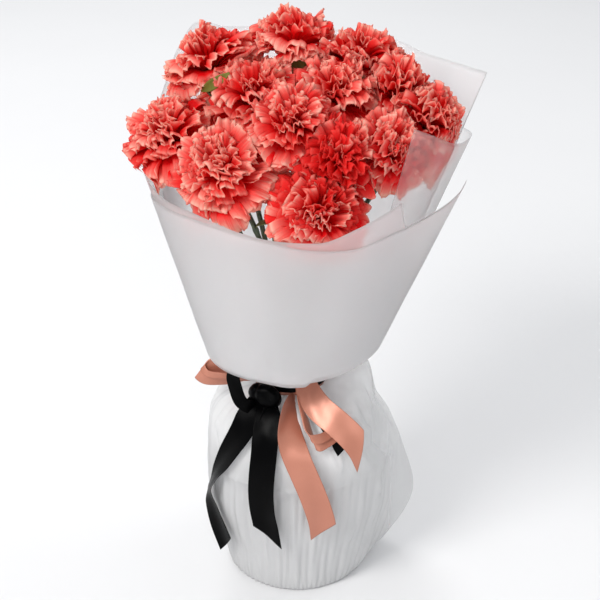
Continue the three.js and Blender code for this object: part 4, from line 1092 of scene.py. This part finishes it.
def band_piece(colour, look):
    """The ribbon round the neck, folded along its length so that its full width lies within the band."""
    radius, bottom, top, layers = BANDS[colour]
    path = []
    for k, part in enumerate(layers):
        up = np.linspace(0, part, 7) if k % 2 == 0 else np.linspace(layers[k - 1], layers[k - 1] - part, 7)
        path += [(radius - BAND_PITCH * (k + 0.12 * abs(2 * j - 6) / 6), bottom + (top - bottom) * h)
                 for j, h in enumerate(up)]
    out, height = np.array(path).T[..., None]
    angle = circle(160) - math.pi
    out = out + sum(depth * np.sin(number * angle + turn * height) for depth, number, turn in BAND_WAVES)
    grid = xyz(NECK[0] + out * np.sin(angle), NECK[1] - out * np.cos(angle), height)
    marks = xyz(shares(len(path))[:, None], angle * radius / RIBBON["flat_width"], 0.0)
    made = ribbon_mesh(colour + "_band", colour, look, grid, marks, BAND_THICKNESS, closed=True)


def knot_piece(look):
    """The knot: the ribbon wrapped tightly round itself, with folds that run into it."""
    theta = circle(64)
    x = np.linspace(-0.97, 0.97, 34)[:, None]
    folds = sum(depth * np.cos(number * theta + turn * x) for depth, number, turn in BLACK_KNOT["folds"])
    waist, place, wide = BLACK_KNOT["waist"]
    ring = np.sqrt(1 - x**2) * (1 + folds) * (1 - waist * bell(x - place, wide))
    local = xyz(x, ring * np.cos(theta), ring * np.sin(theta)) * BLACK_KNOT["size"]
    turn = math.radians(BLACK_KNOT["turn"])
    turned = [[math.cos(turn), math.sin(turn), 0], [-math.sin(turn), math.cos(turn), 0], [0, 0, 1]]
    rings = local @ np.array(turned) + BLACK_KNOT["middle"]
    points = np.concatenate([rings.reshape(-1, 3), rings[0].mean(0)[None], rings[-1].mean(0)[None]])
    marks = xyz(0.45 * (x + 1) + 0.05, theta / 2, 0.0).reshape(-1, 3)
    marks = np.concatenate([marks, [[0.5, 0, 0]] * 2])
    faces = ring_faces(len(x), len(theta))
    piece("black_knot", points, faces, look, "ribbon_black", "black_ribbon", marks)


# ---- camera, floor and light

def camera():
    data = bpy.data.cameras.new("view")
    data.lens, data.sensor_width, data.clip_end = CAMERA["lens"], CAMERA["sensor"], CAMERA["clip_end"]
    made = new_object("view", data)
    tilt = math.radians(CAMERA["elevation"])
    away = CAMERA["distance"] * np.array([0, -math.cos(tilt), math.sin(tilt)])
    made.location = (np.array(CAMERA["target"]) + away) * MM
    made.rotation_euler = (math.pi / 2 - tilt, 0, 0)
    bpy.context.scene.camera = made


def lamp(name, place, target, size, power, tint):
    data = bpy.data.lights.new(name, "AREA")
    data.size, data.energy, data.color = size, power, tint
    made = new_object(name, data)
    made.location = place
    x, y, z = np.array(target) - np.array(place)
    made.rotation_euler = (math.atan2(math.hypot(x, y), -z), 0, math.atan2(x, -y) + math.pi)


def stage():
    mesh = bpy.data.meshes.new("floor")
    ends = [(x * FLOOR_HALF, y * FLOOR_HALF, 0) for x, y in ((-1, -1), (1, -1), (1, 1), (-1, 1))]
    mesh.from_pydata(ends, [], [(0, 1, 2, 3)])
    mesh.materials.append(plain_look("pale floor", (0.76, 0.76, 0.77), (0.80, 0.80, 0.81),
                                     roughness=0.6, scale=3.0, depth=0.0002))
    floor = new_object("floor", mesh)
    world = bpy.data.worlds.new("soft studio")
    world.use_nodes = True
    background = world.node_tree.nodes["Background"].inputs
    background["Color"].default_value = SKY["colour"]
    background["Strength"].default_value = SKY["strength"]
    bpy.context.scene.world = world
    for name, values in LAMPS.items():
        lamp(name, *values)


# ---- the whole bunch

def build():
    scene = bpy.context.scene
    scene.view_settings.view_transform = "Standard"
    scene.cycles.max_bounces, scene.cycles.diffuse_bounces, scene.cycles.transmission_bounces = 20, 10, 16
    camera()
    stage()
    looks = {
        "petal": petal_look(),
        "stem": green_look("stem green", (0.045, 0.065, 0.04), (0.12, 0.155, 0.085), scale=160.0, thin=0.0),
        "leaf": green_look("leaf green", (0.10, 0.13, 0.018), (0.32, 0.33, 0.06), scale=120.0, thin=0.3),
        "paper": paper_look("frosted paper", clear=0.55, blur=0.5, sharp=0.08),
        "thin paper": paper_look("thin frosted paper", clear=0.86, blur=0.34, sharp=0.75),
        "film": film_look(),
        "black": satin_look("black satin", (0.0004, 0.0004, 0.0005), (0.001, 0.001, 0.0013),
                            roughness=0.3, gloss=0.045, metal=0.0),
        "copper": satin_look("copper satin", (0.45, 0.165, 0.105), (0.57, 0.23, 0.155),
                             roughness=0.34, gloss=0.6, metal=0.25),
    }
    settle_vase(looks)
    for name in PAPER_SHEETS:
        paper_on_cone(name, looks["paper"])
    paper_right(looks["thin paper"])
    blooms = bloom_frames()
    slots = neck_slots(blooms)
    for index, bloom in enumerate(blooms):
        bloom_piece(index, bloom, blooms, looks["petal"])
        stem_piece(index, bloom, slots[index], looks)
    for colour in BANDS:
        band_piece(colour, looks[colour])
    knot_piece(looks["black"])
    for name in RIBBONS:
        ribbon_piece(name, looks)


def settle_vase(looks):
    vase_piece(plain_look("white glaze", (0.80, 0.80, 0.79), (0.88, 0.88, 0.87),
                          roughness=0.22, scale=25.0, depth=0.0001))
    film_piece(looks["film"])
    twine_piece(plain_look("twine", (0.30, 0.20, 0.09), (0.52, 0.38, 0.20),
                           roughness=0.85, scale=400.0, depth=0.0003))
    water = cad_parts["water"]
    water.data.materials.clear()
    water.data.materials.append(water_look())


build()
